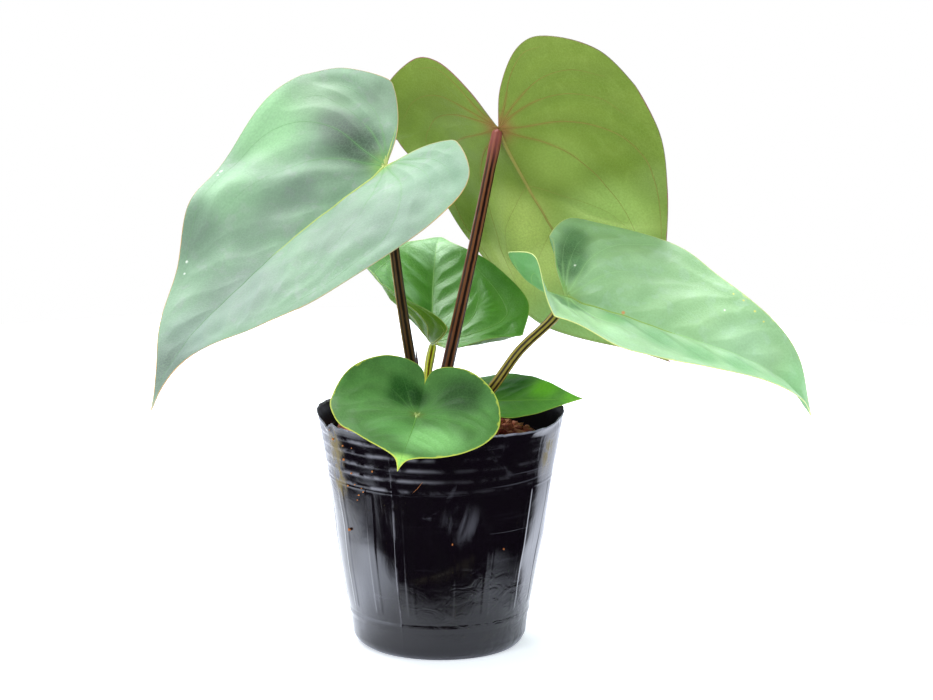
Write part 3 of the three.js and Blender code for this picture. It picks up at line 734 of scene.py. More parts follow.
@dataclass(frozen=True)
class PotFinish:
    """Finish of the black nursery pot: glossy film with scuffs, dust, dried mud, a chalky trimmed rim, and painted
    highlights on the collar and the ridge tops.

    Stains and the smear are places in metres, each with its reach.
    """

    name: str = "black nursery film"
    film: Colour = (0.0036, 0.0024, 0.0042)
    dust: Colour = (0.075, 0.062, 0.028)
    # Grey of the scuffs, and of the painted highlights in level streaks.
    scuff_and_highlight: Colour = (0.09, 0.09, 0.11)
    rim: Colour = (0.22, 0.23, 0.28)
    # Grey of the painted highlights on the ridge tops.
    crest: Colour = (0.24, 0.24, 0.28)
    stain: Colour = (0.15, 0.11, 0.02)
    stains: tuple[tuple[float, float, float, float], ...] = (
        (-0.0455, -0.0262, 0.0940, 0.0080),
        (-0.0445, -0.0245, 0.0800, 0.0075),
        (0.0470, -0.0225, 0.0900, 0.0070),
    )
    smear: tuple[float, float, float, float] = (0.0100, -0.0475, 0.0630, 0.0130)
    gloss: float = 0.6
    roughness: float = 0.09

    def wear_and_highlights(self, b: Bench, place: Socket, upright: Socket, film: Socket) -> list[tuple[Socket, Colour]]:
        """Layers of upright scuffs, smears, painted highlights in level streaks that are strongest on the collar,
        and painted highlights on the ridge tops.

        Args:
            b: The material's bench.
            place: Place on the pot.
            upright: Upright streaky noise.
            film: Slow noise of the film.

        Returns:
            Covers and colours.
        """
        *spot, reach = self.smear
        level = b.noise(b.stretch(place, (22.0, 22.0, 560.0)), 1.0, 4.0, 0.2)
        smears = b.step(b.noise(place, 52.0, 5.0, 2.2), 0.60, 0.78, 0.0, 0.3)
        collar = b.math("MULTIPLY_ADD", b.step(b.axes(place)[2], 0.074, 0.080), 0.7, 0.3)
        ridge_strength = b.step(b.noise(place, 110.0, 4.0), 0.42, 0.62, 0.0, 0.6)
        return [
            (b.step(upright, 0.62, 0.85, 0.0, 0.10), self.scuff_and_highlight),
            (b.times(smears, b.step(level, 0.3, 0.6)), self.scuff_and_highlight),
            # Painted highlights: level streaks, strongest on the collar.
            (b.times(b.step(level, 0.60, 0.76, 0.0, 0.35), collar), self.scuff_and_highlight),
            # Painted highlights on the ridge tops and the seam, in places, strongest at the left.
            (b.times(b.value("crest"), ridge_strength), self.crest),
            (b.times(b.near(place, spot, reach), b.step(film, 0.45, 0.7, 0.0, 0.5)), self.scuff_and_highlight),
        ]

    def stained(self, b: Bench, place: Socket) -> Socket:
        """Cover of the dried mud, with ragged edges.

        Args:
            b: The material's bench.
            place: Place on the pot.

        Returns:
            The cover.
        """
        flatten = 0.55
        ragged = b.step(b.noise(b.stretch(place, (300.0, 300.0, 170.0)), 1.0, 4.0, 0.6), 0.36, 0.58)
        cover: object = 0.0
        for x, y, z, reach in self.stains:
            spot = b.near(b.stretch(place, (1.0, 1.0, flatten)), (x, y, flatten * z), reach)
            cover = b.math("MAXIMUM", cover, b.times(spot, ragged))
        return cover

    def surface(self, b: Bench, place: Socket, upright: Socket, film: Socket) -> Socket:
        """Height of the film's surface: scratches, slow waves, and wrinkles that lie mostly on the right.

        Args:
            b: The material's bench.
            place: Place on the pot.
            upright: Upright streaky noise.
            film: Slow noise of the film.

        Returns:
            The height.
        """
        wrinkles = b.noise(b.stretch(place, (1.0, 1.0, 1.5)), 120.0, 2.0, 1.0)
        where = b.noise(b.stretch(place, (1.0, 1.0, 1.0), (0.02, 0.0, 0.01)), 21.0, 1.0)
        on_right = b.step(b.axes(place)[0], -0.012, 0.012, 0.4, 1.0)
        wrinkled = b.times(b.step(where, 0.42, 0.6, 0.06, 1.0), on_right)
        waves = b.math("MULTIPLY_ADD", upright, 0.05, b.times(film, 0.4))
        return b.math("MULTIPLY_ADD", wrinkles, wrinkled, waves)

    def make(self) -> Material:
        """Builds the material: the film with its scuffs and painted highlights, then dust, dried mud, specks and
        the chalky rim.

        Returns:
            The material.
        """
        b = Bench(self.name)
        place = b.place()
        upright = b.noise(b.stretch(place, (380.0, 380.0, 14.0)), 1.0, 5.0, 0.3)
        film = b.noise(b.stretch(place, (90.0, 90.0, 30.0)), 1.0, 3.0, 1.2)
        painted_light_and_dust_patches = b.noise(place, 38.0, 4.0, 0.8)
        dusty = b.times(b.step(painted_light_and_dust_patches, 0.58, 0.74), b.step(upright, 0.35, 0.6))
        specks = b.times(b.step(b.dots(place, 420.0), 0.05, 0.12, 1.0, 0.0), b.step(painted_light_and_dust_patches, 0.5, 0.6))
        stained = self.stained(b, place)
        rim = b.value("rim")
        colour = b.layered(
            self.film,
            *self.wear_and_highlights(b, place, upright, film),
            (b.times(dusty, 0.12), self.dust),
            (b.times(stained, 0.9), self.stain),
            (b.times(specks, 0.4), self.dust),
            (b.times(rim, b.step(upright, 0.35, 0.6, 0.55, 1.0)), self.rim),
        )
        rough = b.step(film, 0.35, 0.7, self.roughness - 0.03, self.roughness + 0.09)
        for cover, added in ((dusty, 0.15), (stained, 0.4), (rim, 0.55)):
            rough = b.math("MULTIPLY_ADD", cover, added, rough)
        return b.done(
            Base_Color=colour,
            Roughness=rough,
            Normal=b.bumps(self.surface(b, place, upright, film), 0.0009, 0.5),
            Specular_IOR_Level=b.step(b.axes(place)[2], 0.045, 0.082, self.gloss, 0.4 * self.gloss),
        )


@dataclass(frozen=True)
class BarkFinish:
    """Finish of potting mix, bark and fibres: a fibrous brown, lighter and darker from bit to bit."""

    name: str
    dark: Colour
    light: Colour
    grain: float = 240.0

    def make(self) -> Material:
        """Builds the material from the tone value that each bit carries and a stretched grain.

        Returns:
            The material.
        """
        b = Bench(self.name)
        place = b.place()
        grain = b.noise(b.stretch(place, (1.0, 2.6, 1.4)), self.grain, 5.0, 0.6)
        tone = b.math("MULTIPLY_ADD", b.math("SUBTRACT", grain, 0.5), 1.1, b.value("tone"))
        colour = b.layered(
            self.dark,
            (b.step(tone, 0.1, 1.0), self.light),
            (b.step(b.noise(place, 70.0, 3.0), 0.5, 0.75, 0.0, 0.5), self.dark),
        )
        return b.done(
            Base_Color=colour, Roughness=0.92, Normal=b.bumps(grain, 0.0008, 0.8), Specular_IOR_Level=0.2
        )


# Leaves

Curve = tuple[tuple[float, float], ...]

# Veins on a half leaf, as places (along, aside): along is a share of the leaf's length, or of the lobe's length
# behind the joint, and aside is a share of the half width.
SINUS_RIB: Curve = ((0, 0), (-0.27, 0.11), (-0.60, 0.22), (-0.84, 0.36), (-0.88, 0.50))
LOBE_RIB: Curve = ((0, 0), (-0.28, 0.20), (-0.50, 0.44), (-0.50, 0.66), (-0.30, 0.84))
FLANK_RIB: Curve = ((0, 0), (-0.14, 0.16), (-0.22, 0.36), (-0.18, 0.58), (0.01, 0.76), (0.07, 0.85))
OUTER_RIB: Curve = (
    (0, 0), (0.015, 0.20), (0.035, 0.44), (0.08, 0.63), (0.14, 0.76), (0.22, 0.83), (0.32, 0.80),
    (0.44, 0.70), (0.58, 0.53), (0.72, 0.34), (0.85, 0.16), (0.95, 0.04),
)
INNER_RIB: Curve = (
    (0, 0), (0.04, 0.13), (0.08, 0.26), (0.13, 0.37), (0.20, 0.45), (0.29, 0.50), (0.39, 0.52),
    (0.47, 0.50), (0.53, 0.50),
)

SIDES = (1, -1)  # the left and the right half of a leaf
VEIN_SIDES = 8
SIMPSON = np.array([1, 4, 2, 4, 2, 4, 2, 4, 1])[:, None] / 24.0  # weights of nine even samples in their mean


def nearest(points: Array, lines: Sequence[Array]) -> Array:
    """Distance from flat points to the nearest point of any of the lines.

    Args:
        points: Places, one per row.
        lines: Closely spaced points along each line.

    Returns:
        One distance per point.
    """
    marks = np.concatenate(lines)
    blocks = (points[i : i + 2000, None] for i in range(0, len(points), 2000))
    return np.sqrt(np.concatenate([((block - marks) ** 2).sum(axis=-1).min(axis=1) for block in blocks]))


@dataclass(frozen=True)
class FlatPoints:
    """Points on one half of the flat leaf at distances along the midrib and off it. The left half's side is 1."""

    side: int
    along: Array
    off: Array

    def rows(self) -> Array:
        """The points as rows of (along, off)."""
        return np.stack([self.along, self.off], axis=-1)

    def signed(self) -> Array:
        """The points as rows of (along, aside), where aside is below 0 on the right."""
        return np.stack([self.along, self.side * self.off], axis=-1)

    def from_joint(self) -> Array:
        """Distances from the joint."""
        return np.hypot(self.along, self.off)


@dataclass(frozen=True)
class Half:
    """One half of a leaf, seen from above with the tip ahead.

    Triples of angles run lobe, middle, tip. Waves are heights at LeafForm.WAVE_PLACES, and the lip is an angle by
    which the lobe's margin turns on.
    """

    width: float
    lobe: float
    fold: tuple[float, float, float]
    curl: tuple[float, float, float]
    waves: tuple[float, float, float, float, float]
    lip: float = 0.0
    ribs: tuple[Curve, ...] = (SINUS_RIB, LOBE_RIB, FLANK_RIB, OUTER_RIB, INNER_RIB)
    laterals: tuple[float, ...] = (0.19, 0.35, 0.49, 0.62, 0.74, 0.84)


@dataclass(frozen=True)
class LeafForm:
    """A leaf's middle surface: a flat heart carried on a bent midrib, folded and curled on both sides.

    The midrib's frame turns by heading, pitch and roll at the joint, then droops, hooks, sweeps and twists on
    its way. Off the midrib the surface rises at the fold angle, turns on by the curl angle towards the margin, and
    carries five waves near it.
    """

    joint: Place
    heading: float
    pitch: float
    roll: float
    length: float
    sinus: float
    widest: float
    tip_fill: float
    side_fill: float
    droop: float
    hook: float
    lobe_bend: float
    sweep: float
    tip_sweep: float
    twist: float
    left: Half
    right: Half
    quilt: float = 0.7
    quilt_width: float = 5.0
    ripple: float = 0.12
    ripple_step: float = 5.5
    unevenness: float = 0.35
    throat: float = 6.0
    drip: float = 0.0
    seed: int = 1

    WAVE_PLACES = ((16, 8), (32, 10), (52, 13), (80, 18), (120, 24))  # degrees off the midrib, and spread
    THICKNESS = 0.8
    EDGE_THICKNESS = 0.36
    BACK_STATIONS = 20
    AHEAD_STATIONS = 85

    def half(self, side: int) -> Half:
        """The left half for a side of 1, the right one for -1."""
        return self.left if side > 0 else self.right

    @property
    def reach_back(self) -> float:
        """Length of the longer lobe."""
        return max(self.left.lobe, self.right.lobe)

    @property
    def reach_ahead(self) -> float:
        """Length from the joint to the end of the drawn-out tip."""
        return self.length + self.drip

    def stations(self) -> tuple[Array, Array, Array]:
        """Stations along the midrib from behind the lobes to the tip.

        Returns:
            Distances along, places, and frames, whose columns point ahead, left and out of the upper face.
        """
        behind = np.linspace(-1.15 * self.reach_back, 0.0, self.BACK_STATIONS + 1)[:-1]
        along = np.concatenate([behind, np.linspace(0.0, self.reach_ahead, self.AHEAD_STATIONS)])
        share = np.clip(along / self.length, 0.0, 1.0)
        near_tip = smooth(share, 0.6, 1.0)
        back = np.maximum(-along / self.reach_back, 0.0)
        bend = -self.droop * share - self.hook * near_tip - self.lobe_bend * back
        sweep = self.sweep * share**1.3 + self.tip_sweep * near_tip
        at_joint = turn_about(2, self.heading) @ turn_about(1, -self.pitch) @ turn_about(0, self.roll)
        frames = at_joint @ turn_about(2, sweep) @ turn_about(1, -bend) @ turn_about(0, self.twist * share)
        ahead = frames[:, :, 0]
        steps = 0.5 * (ahead[1:] + ahead[:-1]) * np.diff(along)[:, None]
        run = np.vstack([np.zeros(3), np.cumsum(steps, axis=0)])
        return along, run - run[self.BACK_STATIONS] + np.array(self.joint), frames

    def middle(self, at: FlatPoints) -> Array:
        """Points of the middle surface.

        Args:
            at: Where on the flat leaf.

        Returns:
            The points, one per row.
        """
        half, along, off = self.half(at.side), at.along, at.off
        share = off / half.width
        back = -along / self.reach_back

        def mixed(angles: tuple[float, float, float]) -> Array:
            """An angle in radians that runs from lobe to middle to tip."""
            lobe, middle, tip = angles
            ahead = middle + (tip - middle) * smooth(along / self.length)
            return np.radians(np.where(along > 0, ahead, middle + (lobe - middle) * np.clip(back, 0.0, 1.2)))

        lip = math.radians(half.lip) * bell(0.5 - back, 0.9)
        part = share * np.linspace(0.0, 1.0, len(SIMPSON))[:, None]
        angle = mixed(half.fold) + mixed(half.curl) * part + lip * smooth(part, 0.5, 1.0)
        direction = np.degrees(np.arctan2(off, along))
        waves = zip(half.waves, self.WAVE_PLACES)
        wave = smooth(share) * sum(height * bell(direction - way, spread) for height, (way, spread) in waves)
        across = off * (np.cos(angle) * SIMPSON).sum(axis=0) - np.sin(angle[-1]) * wave
        rise = off * (np.sin(angle) * SIMPSON).sum(axis=0) + np.cos(angle[-1]) * wave
        stations, places, frames = self.stations()
        place, left, up = (
            np.stack([np.interp(along, stations, column[:, k]) for k in range(3)], axis=-1)
            for column in (places, frames[:, :, 1], frames[:, :, 2])
        )
        return place + at.side * across[:, None] * unit(left) + rise[:, None] * unit(up)

    def normals(self, at: FlatPoints) -> Array:
        """Directions out of the upper face, from the surface's slopes; on the midrib, the mean of both sides.

        Args:
            at: Where on the flat leaf.

        Returns:
            The directions, one per row.
        """
        step = 0.08

        def slope(side: int) -> Array:
            """The direction out of one half."""
            fore = self.middle(FlatPoints(side, at.along + step, at.off))
            aft = self.middle(FlatPoints(side, at.along - step, at.off))
            outer = self.middle(FlatPoints(side, at.along, at.off + step))
            inner = self.middle(FlatPoints(side, at.along, np.maximum(at.off - step, 0.0)))
            return side * unit(np.cross(fore - aft, outer - inner))

        own = slope(at.side)
        return np.where((at.off < 1e-6)[:, None], unit(own + slope(-at.side)), own)

    def outline(self, side: int, count: int) -> Array:
        """Half outline from the sinus to the tip on the flat leaf.

        Args:
            side: Which half.
            count: Number of points.

        Returns:
            Evenly spaced rows of (along, off).
        """
        half = self.half(side)
        width, lobe, length, sinus = half.width, half.lobe, self.length, self.sinus
        fill, tip = self.side_fill, self.tip_fill
        control = [
            (0, 0),
            (-0.5 * lobe, 0.55 * sinus * width),
            (-0.92 * lobe, (sinus + 0.1) * width),
            (-lobe, 0.5 * width),
            (-0.62 * lobe, 0.88 * width),
            (self.widest * length, width),
            (0.34 * length, (0.82 + fill) * width),
            (0.62 * length, (0.46 + fill) * width),
            (0.84 * length, (0.15 + tip) * width),
            (0.94 * length, (0.045 + 0.4 * tip) * width),
            (self.reach_ahead, 0),
        ]
        return spline(control, count)

    def curve_on(self, side: int, curve: Curve, count: int) -> Array:
        """A vein on the flat leaf.

        Args:
            side: Which half.
            curve: The vein in shares of the half.
            count: Number of points.

        Returns:
            Rows of (along, off).
        """
        half = self.half(side)
        shares = np.asarray(curve, float)
        along = np.where(shares[:, 0] > 0, shares[:, 0] * self.length, shares[:, 0] * half.lobe)
        points = spline(np.stack([along, shares[:, 1] * half.width], axis=-1), count)
        points[:, 1] = np.maximum(points[:, 1], 0.0)
        return self.kept_in(side, points)

    def kept_in(self, side: int, points: Array, margin: float = 1.2) -> Array:
        """Draws flat points in towards the midrib wherever they come close to the leaf's edge.

        Args:
            side: Which half.
            points: Rows of (along, off).
            margin: How far from the edge they stay.

        Returns:
            The points that were drawn in.
        """
        edge = self.outline(side, 400)
        along = points[:, 0]
        ahead, sinus = edge[np.argmax(edge[:, 1]) :], edge[: np.argmin(edge[:, 0]) + 1]
        limit = np.interp(along, ahead[:, 0], ahead[:, 1], left=np.inf) - margin
        least = np.interp(-along, -sinus[:, 0], sinus[:, 1], left=0.0) + margin * smooth(-along, 0.0, 5.0)
        held = points.copy()
        held[:, 1] = np.minimum(points[:, 1], np.maximum(limit, 0.3 * (limit + margin)))
        held[:, 1] = np.maximum(held[:, 1], np.where(along < 0, least, 0.0))
        return held

    def lateral(self, start: float) -> Curve:
        """A vein that leaves the midrib at a share of its length and runs forward to the outer rib."""
        taper = 1.0 - 0.62 * start
        bends = ((0.045, 0.17), (0.11, 0.34), (0.18, 0.47), (0.26, 0.55))
        return ((start, 0.0), *((start + ahead * taper + 0.01, aside * taper) for ahead, aside in bends))

    def veins(self, side: int) -> list[Array]:
        """Flat lines of one half's ribs and laterals, with a point every half millimetre or so."""
        half = self.half(side)
        curves = [*half.ribs, *(self.lateral(start) for start in half.laterals)]
        return [self.curve_on(side, curve, 160) for curve in curves]

    def values(self, at: FlatPoints) -> dict[str, Array]:
        """What the finish and the relief need to know at flat points.

        Args:
            at: Where on the flat leaf.

        Returns:
            edge: distance to the leaf's edge; margin: the same without the sinus; panel: 0 at a vein and 1
            between veins; vein: colour that spreads from a rib near the joint; throat: 1 at the joint.
        """
        flat = at.rows()
        midrib = np.stack([np.linspace(0, self.length, 300), np.zeros(300)], axis=-1)
        outline = self.outline(at.side, 700)
        veins = self.veins(at.side)
        rib_starts = [vein[:60] for vein in veins[: len(self.half(at.side).ribs)]]
        joint = at.from_joint()
        spread = bell(nearest(flat, [*rib_starts, midrib]), 0.8) * np.exp(-joint / (0.16 * self.length))
        return {
            "edge": nearest(flat, [outline]),
            "margin": nearest(flat, [outline[np.argmin(outline[:, 0]) :]]),
            "panel": 1.0 - bell(nearest(flat, [*veins, midrib]), self.quilt_width),
            "vein": 0.75 * spread,
            "throat": bell(joint, self.throat),
        }

    def relief(self, at: FlatPoints, values: dict[str, Array]) -> Array:
        """Height over the middle surface, which dies out at the margin.

        Panels swell between the veins, fine ripples cross them, and slow unevenness runs through all.

        Args:
            at: Where on the flat leaf.
            values: The values there.

        Returns:
            The heights.
        """
        flat = at.signed()
        phase = (at.along - 0.45 * at.off + 1.6 * uneven(flat, 30.0, self.seed + 7)) / self.ripple_step
        ripple = self.ripple * np.sin(2 * np.pi * phase) * smooth(at.off, 1.0, 7.0) * values["panel"]
        slow = self.unevenness * (uneven(flat, 42.0, self.seed) + 0.45 * uneven(flat, 17.0, self.seed + 3))
        held = smooth(values["edge"], 0.0, 7.0) * smooth(at.from_joint(), 0.0, 10.0)
        sunk = self.quilt * (values["panel"] - 1.0) * smooth(values["edge"], 0.0, 9.0)
        return sunk + (ripple + slow) * held

    def sheet(self, at: FlatPoints) -> tuple[dict[str, Array], Array, Array, Array]:
        """The leaf at flat points.

        Args:
            at: Where on the flat leaf.

        Returns:
            Its values, the middle surface with its relief, the directions out of it, and the thickness.
        """
        values, normals = self.values(at), self.normals(at)
        middle = self.middle(at) + normals * self.relief(at, values)[:, None]
        swell = (self.THICKNESS - self.EDGE_THICKNESS) * smooth(values["edge"], 0.0, 4.0)
        return values, middle, normals, self.EDGE_THICKNESS + swell


class Face(Enum):
    """A face of a leaf: which way it lies from the middle surface."""

    UPPER = 1
    UNDER = -1


@dataclass(frozen=True)
class VeinStyle:
    """A leaf's veins on one face: radii, strength and reach of their colour, and how far they are sunk in."""

    midrib: float
    rib: float
    lateral: float
    colour: float
    reach: float
    sunk: float = 0.35


@dataclass(frozen=True)
class VeinLine:
    """A vein on the flat leaf: rows of (along, off), radius, share of that at its end, and colour's strength."""

    side: int
    points: Array
    radius: float
    taper: float
    strength: float
    midrib: bool = False


@dataclass
class Leaf:
    """One leaf: its blade with both faces, its veins on both faces, and its stalk."""

    name: str
    form: LeafForm
    upper: LeafFinish
    under: LeafFinish
    stalk: StalkFinish
    slots: tuple[str, str]
    stalk_path: tuple[Place, ...]
    stalk_radius: tuple[float, float]
    rows: int = 250
    columns: int = 46
    upper_veins: VeinStyle = VeinStyle(0.5, 0.34, 0.22, 0.95, 0.3)
    under_veins: VeinStyle = VeinStyle(1.0, 0.5, 0.32, 0.8, 0.8)
    knee: float = 0.12

    RIDGES = 7
    STALK_RINGS = 130
    STALK_SIDES = 56

    def grid(self, side: int) -> FlatPoints:
        """Flat points of one half, row by row from a root on the midrib to the margin.

        Args:
            side: Which half.

        Returns:
            The points, in rows + 1 rows of columns + 1.
        """
        margins = {s: self.form.outline(s, self.rows + 1) for s in SIDES}
        reach = [np.clip(m[:, 0] - 0.45 * m[:, 1], 0.0, self.form.reach_ahead) for m in margins.values()]
        roots = np.maximum.accumulate(0.5 * (reach[0] + reach[1]))
        roots = roots * self.form.reach_ahead / roots[-1]
        share = np.linspace(0.0, 1.0, self.columns + 1)
        share = (share - 0.016 * np.sin(2 * np.pi * share))[None, :]
        edge = margins[side]
        along = roots[:, None] * (1 - share) + edge[:, :1] * share
        return FlatPoints(side, along.ravel(), (edge[:, 1:] * share).ravel())

    def half_shells(self, side: int) -> list[Shell]:
        """Upper face, under face and rounded rim of one half.

        The faces lie half the thickness off the middle surface. Round the margin a ring that stands out by half
        of the edge's thickness joins them.

        Args:
            side: Which half.

        Returns:
            The three surfaces.
        """
        form, at, turned = self.form, self.grid(side), side < 0
        rows, columns = self.rows + 1, self.columns + 1
        values, middle, normals, thickness = form.sheet(at)
        upper = middle + normals * thickness[:, None] / 2
        under = middle - normals * thickness[:, None] / 2
        last = np.arange(1, rows + 1) * columns - 1
        frames = form.stations()[2]
        out = unit(middle[last] - middle[last - 2])
        out[0], out[-1] = -frames[form.BACK_STATIONS, :, 0], frames[-1, :, 0]
        ring = middle[last] + out * form.EDGE_THICKNESS / 2
        rim = np.stack([upper[last], ring, under[last]], axis=1).reshape(-1, 3)
        carried = {key: np.repeat(value[last], 3) for key, value in values.items()}
        margin = np.repeat(at.signed()[last], 3, axis=0)
        return [
            Shell(upper, lattice(rows, columns, inside_out=turned), 0, values, at.signed()),
            Shell(under, lattice(rows, columns, inside_out=not turned), 1, values, at.signed()),
            Shell(rim, lattice(rows, 3, inside_out=turned), 0, carried, margin),
        ]

    def blade(self, materials: Sequence[Material]) -> None:
        """Builds the blade as one closed sheet."""
        shells = [shell for side in SIDES for shell in self.half_shells(side)]
        make_piece(f"leaf_{self.name}", shells, materials, [f"blade_{self.name}"])

    def vein_rod(self, line: VeinLine, face: Face, style: VeinStyle) -> Shell:
        """One vein: a tapering rod, lifted to a face and sunk into it by a share of its radius.

        Args:
            line: The vein.
            face: The face that it stands on.
            style: The face's veins.

        Returns:
            The rod.
        """
        at = FlatPoints(line.side, *line.points.T)
        values, middle, normals, thickness = self.form.sheet(at)
        run = np.linspace(0.0, 1.0, len(line.points))
        radius = line.radius * (line.taper + (1 - line.taper) * (1 - run) ** 0.8)
        height = face.value * (thickness / 2 - style.sunk * radius)
        path = middle + normals * height[:, None]
        shell = rod(path, lambda share, angle: radius[:, None], VEIN_SIDES, 0 if face is Face.UPPER else 1)
        fade = np.exp(-at.from_joint() / (style.reach * self.form.length))
        carried = {
            **values,
            "vein": line.strength * style.colour * fade,
            "panel": np.ones(len(run)),
            "line": np.full(len(run), float(not line.midrib)),
            "midrib": (0.95 - 0.5 * run) * line.midrib,
        }
        rings = np.concatenate([[0], np.arange(len(run)), [len(run) - 1]])
        shell.values = {key: np.repeat(value[rings], VEIN_SIDES) for key, value in carried.items()}
        shell.flat = np.repeat(at.signed()[rings], VEIN_SIDES, axis=0)
        return shell

    def vein_rods(self, face: Face, style: VeinStyle) -> list[Shell]:
        """All veins on one face: the midrib, and each half's ribs and laterals, thinner towards the tip.

        Args:
            face: The face that they stand on.
            style: How thick and how strongly coloured they are.

        Returns:
            The rods.
        """
        form = self.form
        midrib = np.stack([np.linspace(0.3, form.length * 0.985, 120), np.zeros(120)], axis=-1)
        lines = [VeinLine(1, midrib, style.midrib, 0.12, 1.0, midrib=True)]
        for side in SIDES:
            half = form.half(side)
            for curve in half.ribs:
                lines.append(VeinLine(side, form.curve_on(side, curve, 90), style.rib, 0.18, 0.75))
            for start in half.laterals:
                points = form.curve_on(side, form.lateral(start), 44)
                lines.append(VeinLine(side, points, style.lateral * (1.15 - 0.7 * start), 0.2, 0.4))
        return [self.vein_rod(line, face, style) for line in lines]

    def veins(self, materials: Sequence[Material]) -> None:
        """Builds the veins of both faces as one piece."""
        rods = self.vein_rods(Face.UPPER, self.upper_veins) + self.vein_rods(Face.UNDER, self.under_veins)
        make_piece(f"veins_{self.name}", rods, materials, [f"blade_{self.name}"])

    def stem(self, material: Material) -> None:
        """Builds the stalk: a ridged rod, wider at its foot and at its knee, and rounded off at the blade.

        Args:
            material: Its finish.
        """
        foot, top = self.stalk_radius
        start = np.array(self.stalk_path[0]) + np.array([0.0, 0.0, -4.0])
        frames = self.form.stations()[2][self.form.BACK_STATIONS]
        joint = np.array(self.form.joint) - frames[:, 2] * 0.55
        path = spline([start, *self.stalk_path, joint], self.STALK_RINGS)
        length = np.linalg.norm(np.diff(path, axis=0), axis=1).sum()

        def radius(share: Array, angle: Array) -> Array:
            """Radius of the grooved rod."""
            left = (1 - share) * length
            swell = 1 + self.knee * bell(left - 9.0, 5.0) + 0.35 * np.exp(-((share * length) / 4.5))
            end = np.sqrt(np.clip(1 - (1 - np.clip(left / 2.4, 0, 1)) ** 2, 0.02, 1))
            groove = 0.085 * (1 - np.abs(np.cos(self.RIDGES * angle / 2)) ** 0.8) * smooth(left, 0.5, 5.0)
            return (foot + (top - foot) * share) * swell * end * (1 - groove)

        shell = rod(path, radius, self.STALK_SIDES)
        angle = shell.values["angle"] * 2 * np.pi
        run = np.linspace(0, 1, self.STALK_RINGS)
        centre = np.stack([np.interp(shell.values["share"], run, path[:, k]) for k in range(3)], axis=-1)
        shell.values["ridge"] = np.abs(np.cos(self.RIDGES * angle / 2)) ** 1.5
        # Share of the side that faces left, where the finish paints light.
        shell.values["left"] = smooth(-unit(shell.points - centre)[:, 0], 0.55, 0.95)
        make_piece(f"petiole_{self.name}", [shell], [material], [f"stalk_{self.name}"])

    def build(self) -> None:
        """Builds and dresses the whole leaf."""
        faces = [self.upper.make(), self.under.make()]
        self.blade(faces)
        self.veins(faces)
        self.stem(self.stalk.make())


# Sheath, crown, potting mix and pot


@dataclass
class Sheath:
    """The dark dry sheath beside the oldest stalk: a pointed, hollow-backed strip."""

    path: tuple[Place, ...] = ((-6.4, 3.0, 91.0), (-9.0, 2.5, 112.0), (-10.9, 1.2, 132.0))
    half_width: float = 1.75
    half_depth: float = 0.6

    def build(self) -> None:
        """Builds and dresses the sheath."""
        finish = StalkFinish(
            "dry sheath", shade(92, 52, 44), shade(46, 18, 18), shade(40, 16, 18), shade(74, 36, 34), 0.55
        ).make()

        def radius(share: Array, angle: Array) -> Array:
            """Width that narrows to the tip, with a channel along the back and frayed long edges."""
            channel = 0.16 * np.clip(np.cos(angle - np.pi / 2), 0, 1) ** 4
            fray = 0.05 * np.sin(37 * share + 3 * angle) * np.abs(np.cos(angle)) ** 6
            return self.half_width * (1 - 0.93 * share**1.6) * (1 - channel + fray)

        shell = rod(spline(self.path, 70), radius, 32, squash=self.half_depth / self.half_width)
        angle = shell.values["angle"] * 2 * np.pi
        shell.values["ridge"] = 0.5 + 0.5 * np.cos(9 * angle)
        # Share of the side that faces left, where the finish paints light.
        shell.values["left"] = np.clip(-np.cos(angle), 0, 1)
        make_piece("dry_sheath", [shell], [finish], ["sheath"])


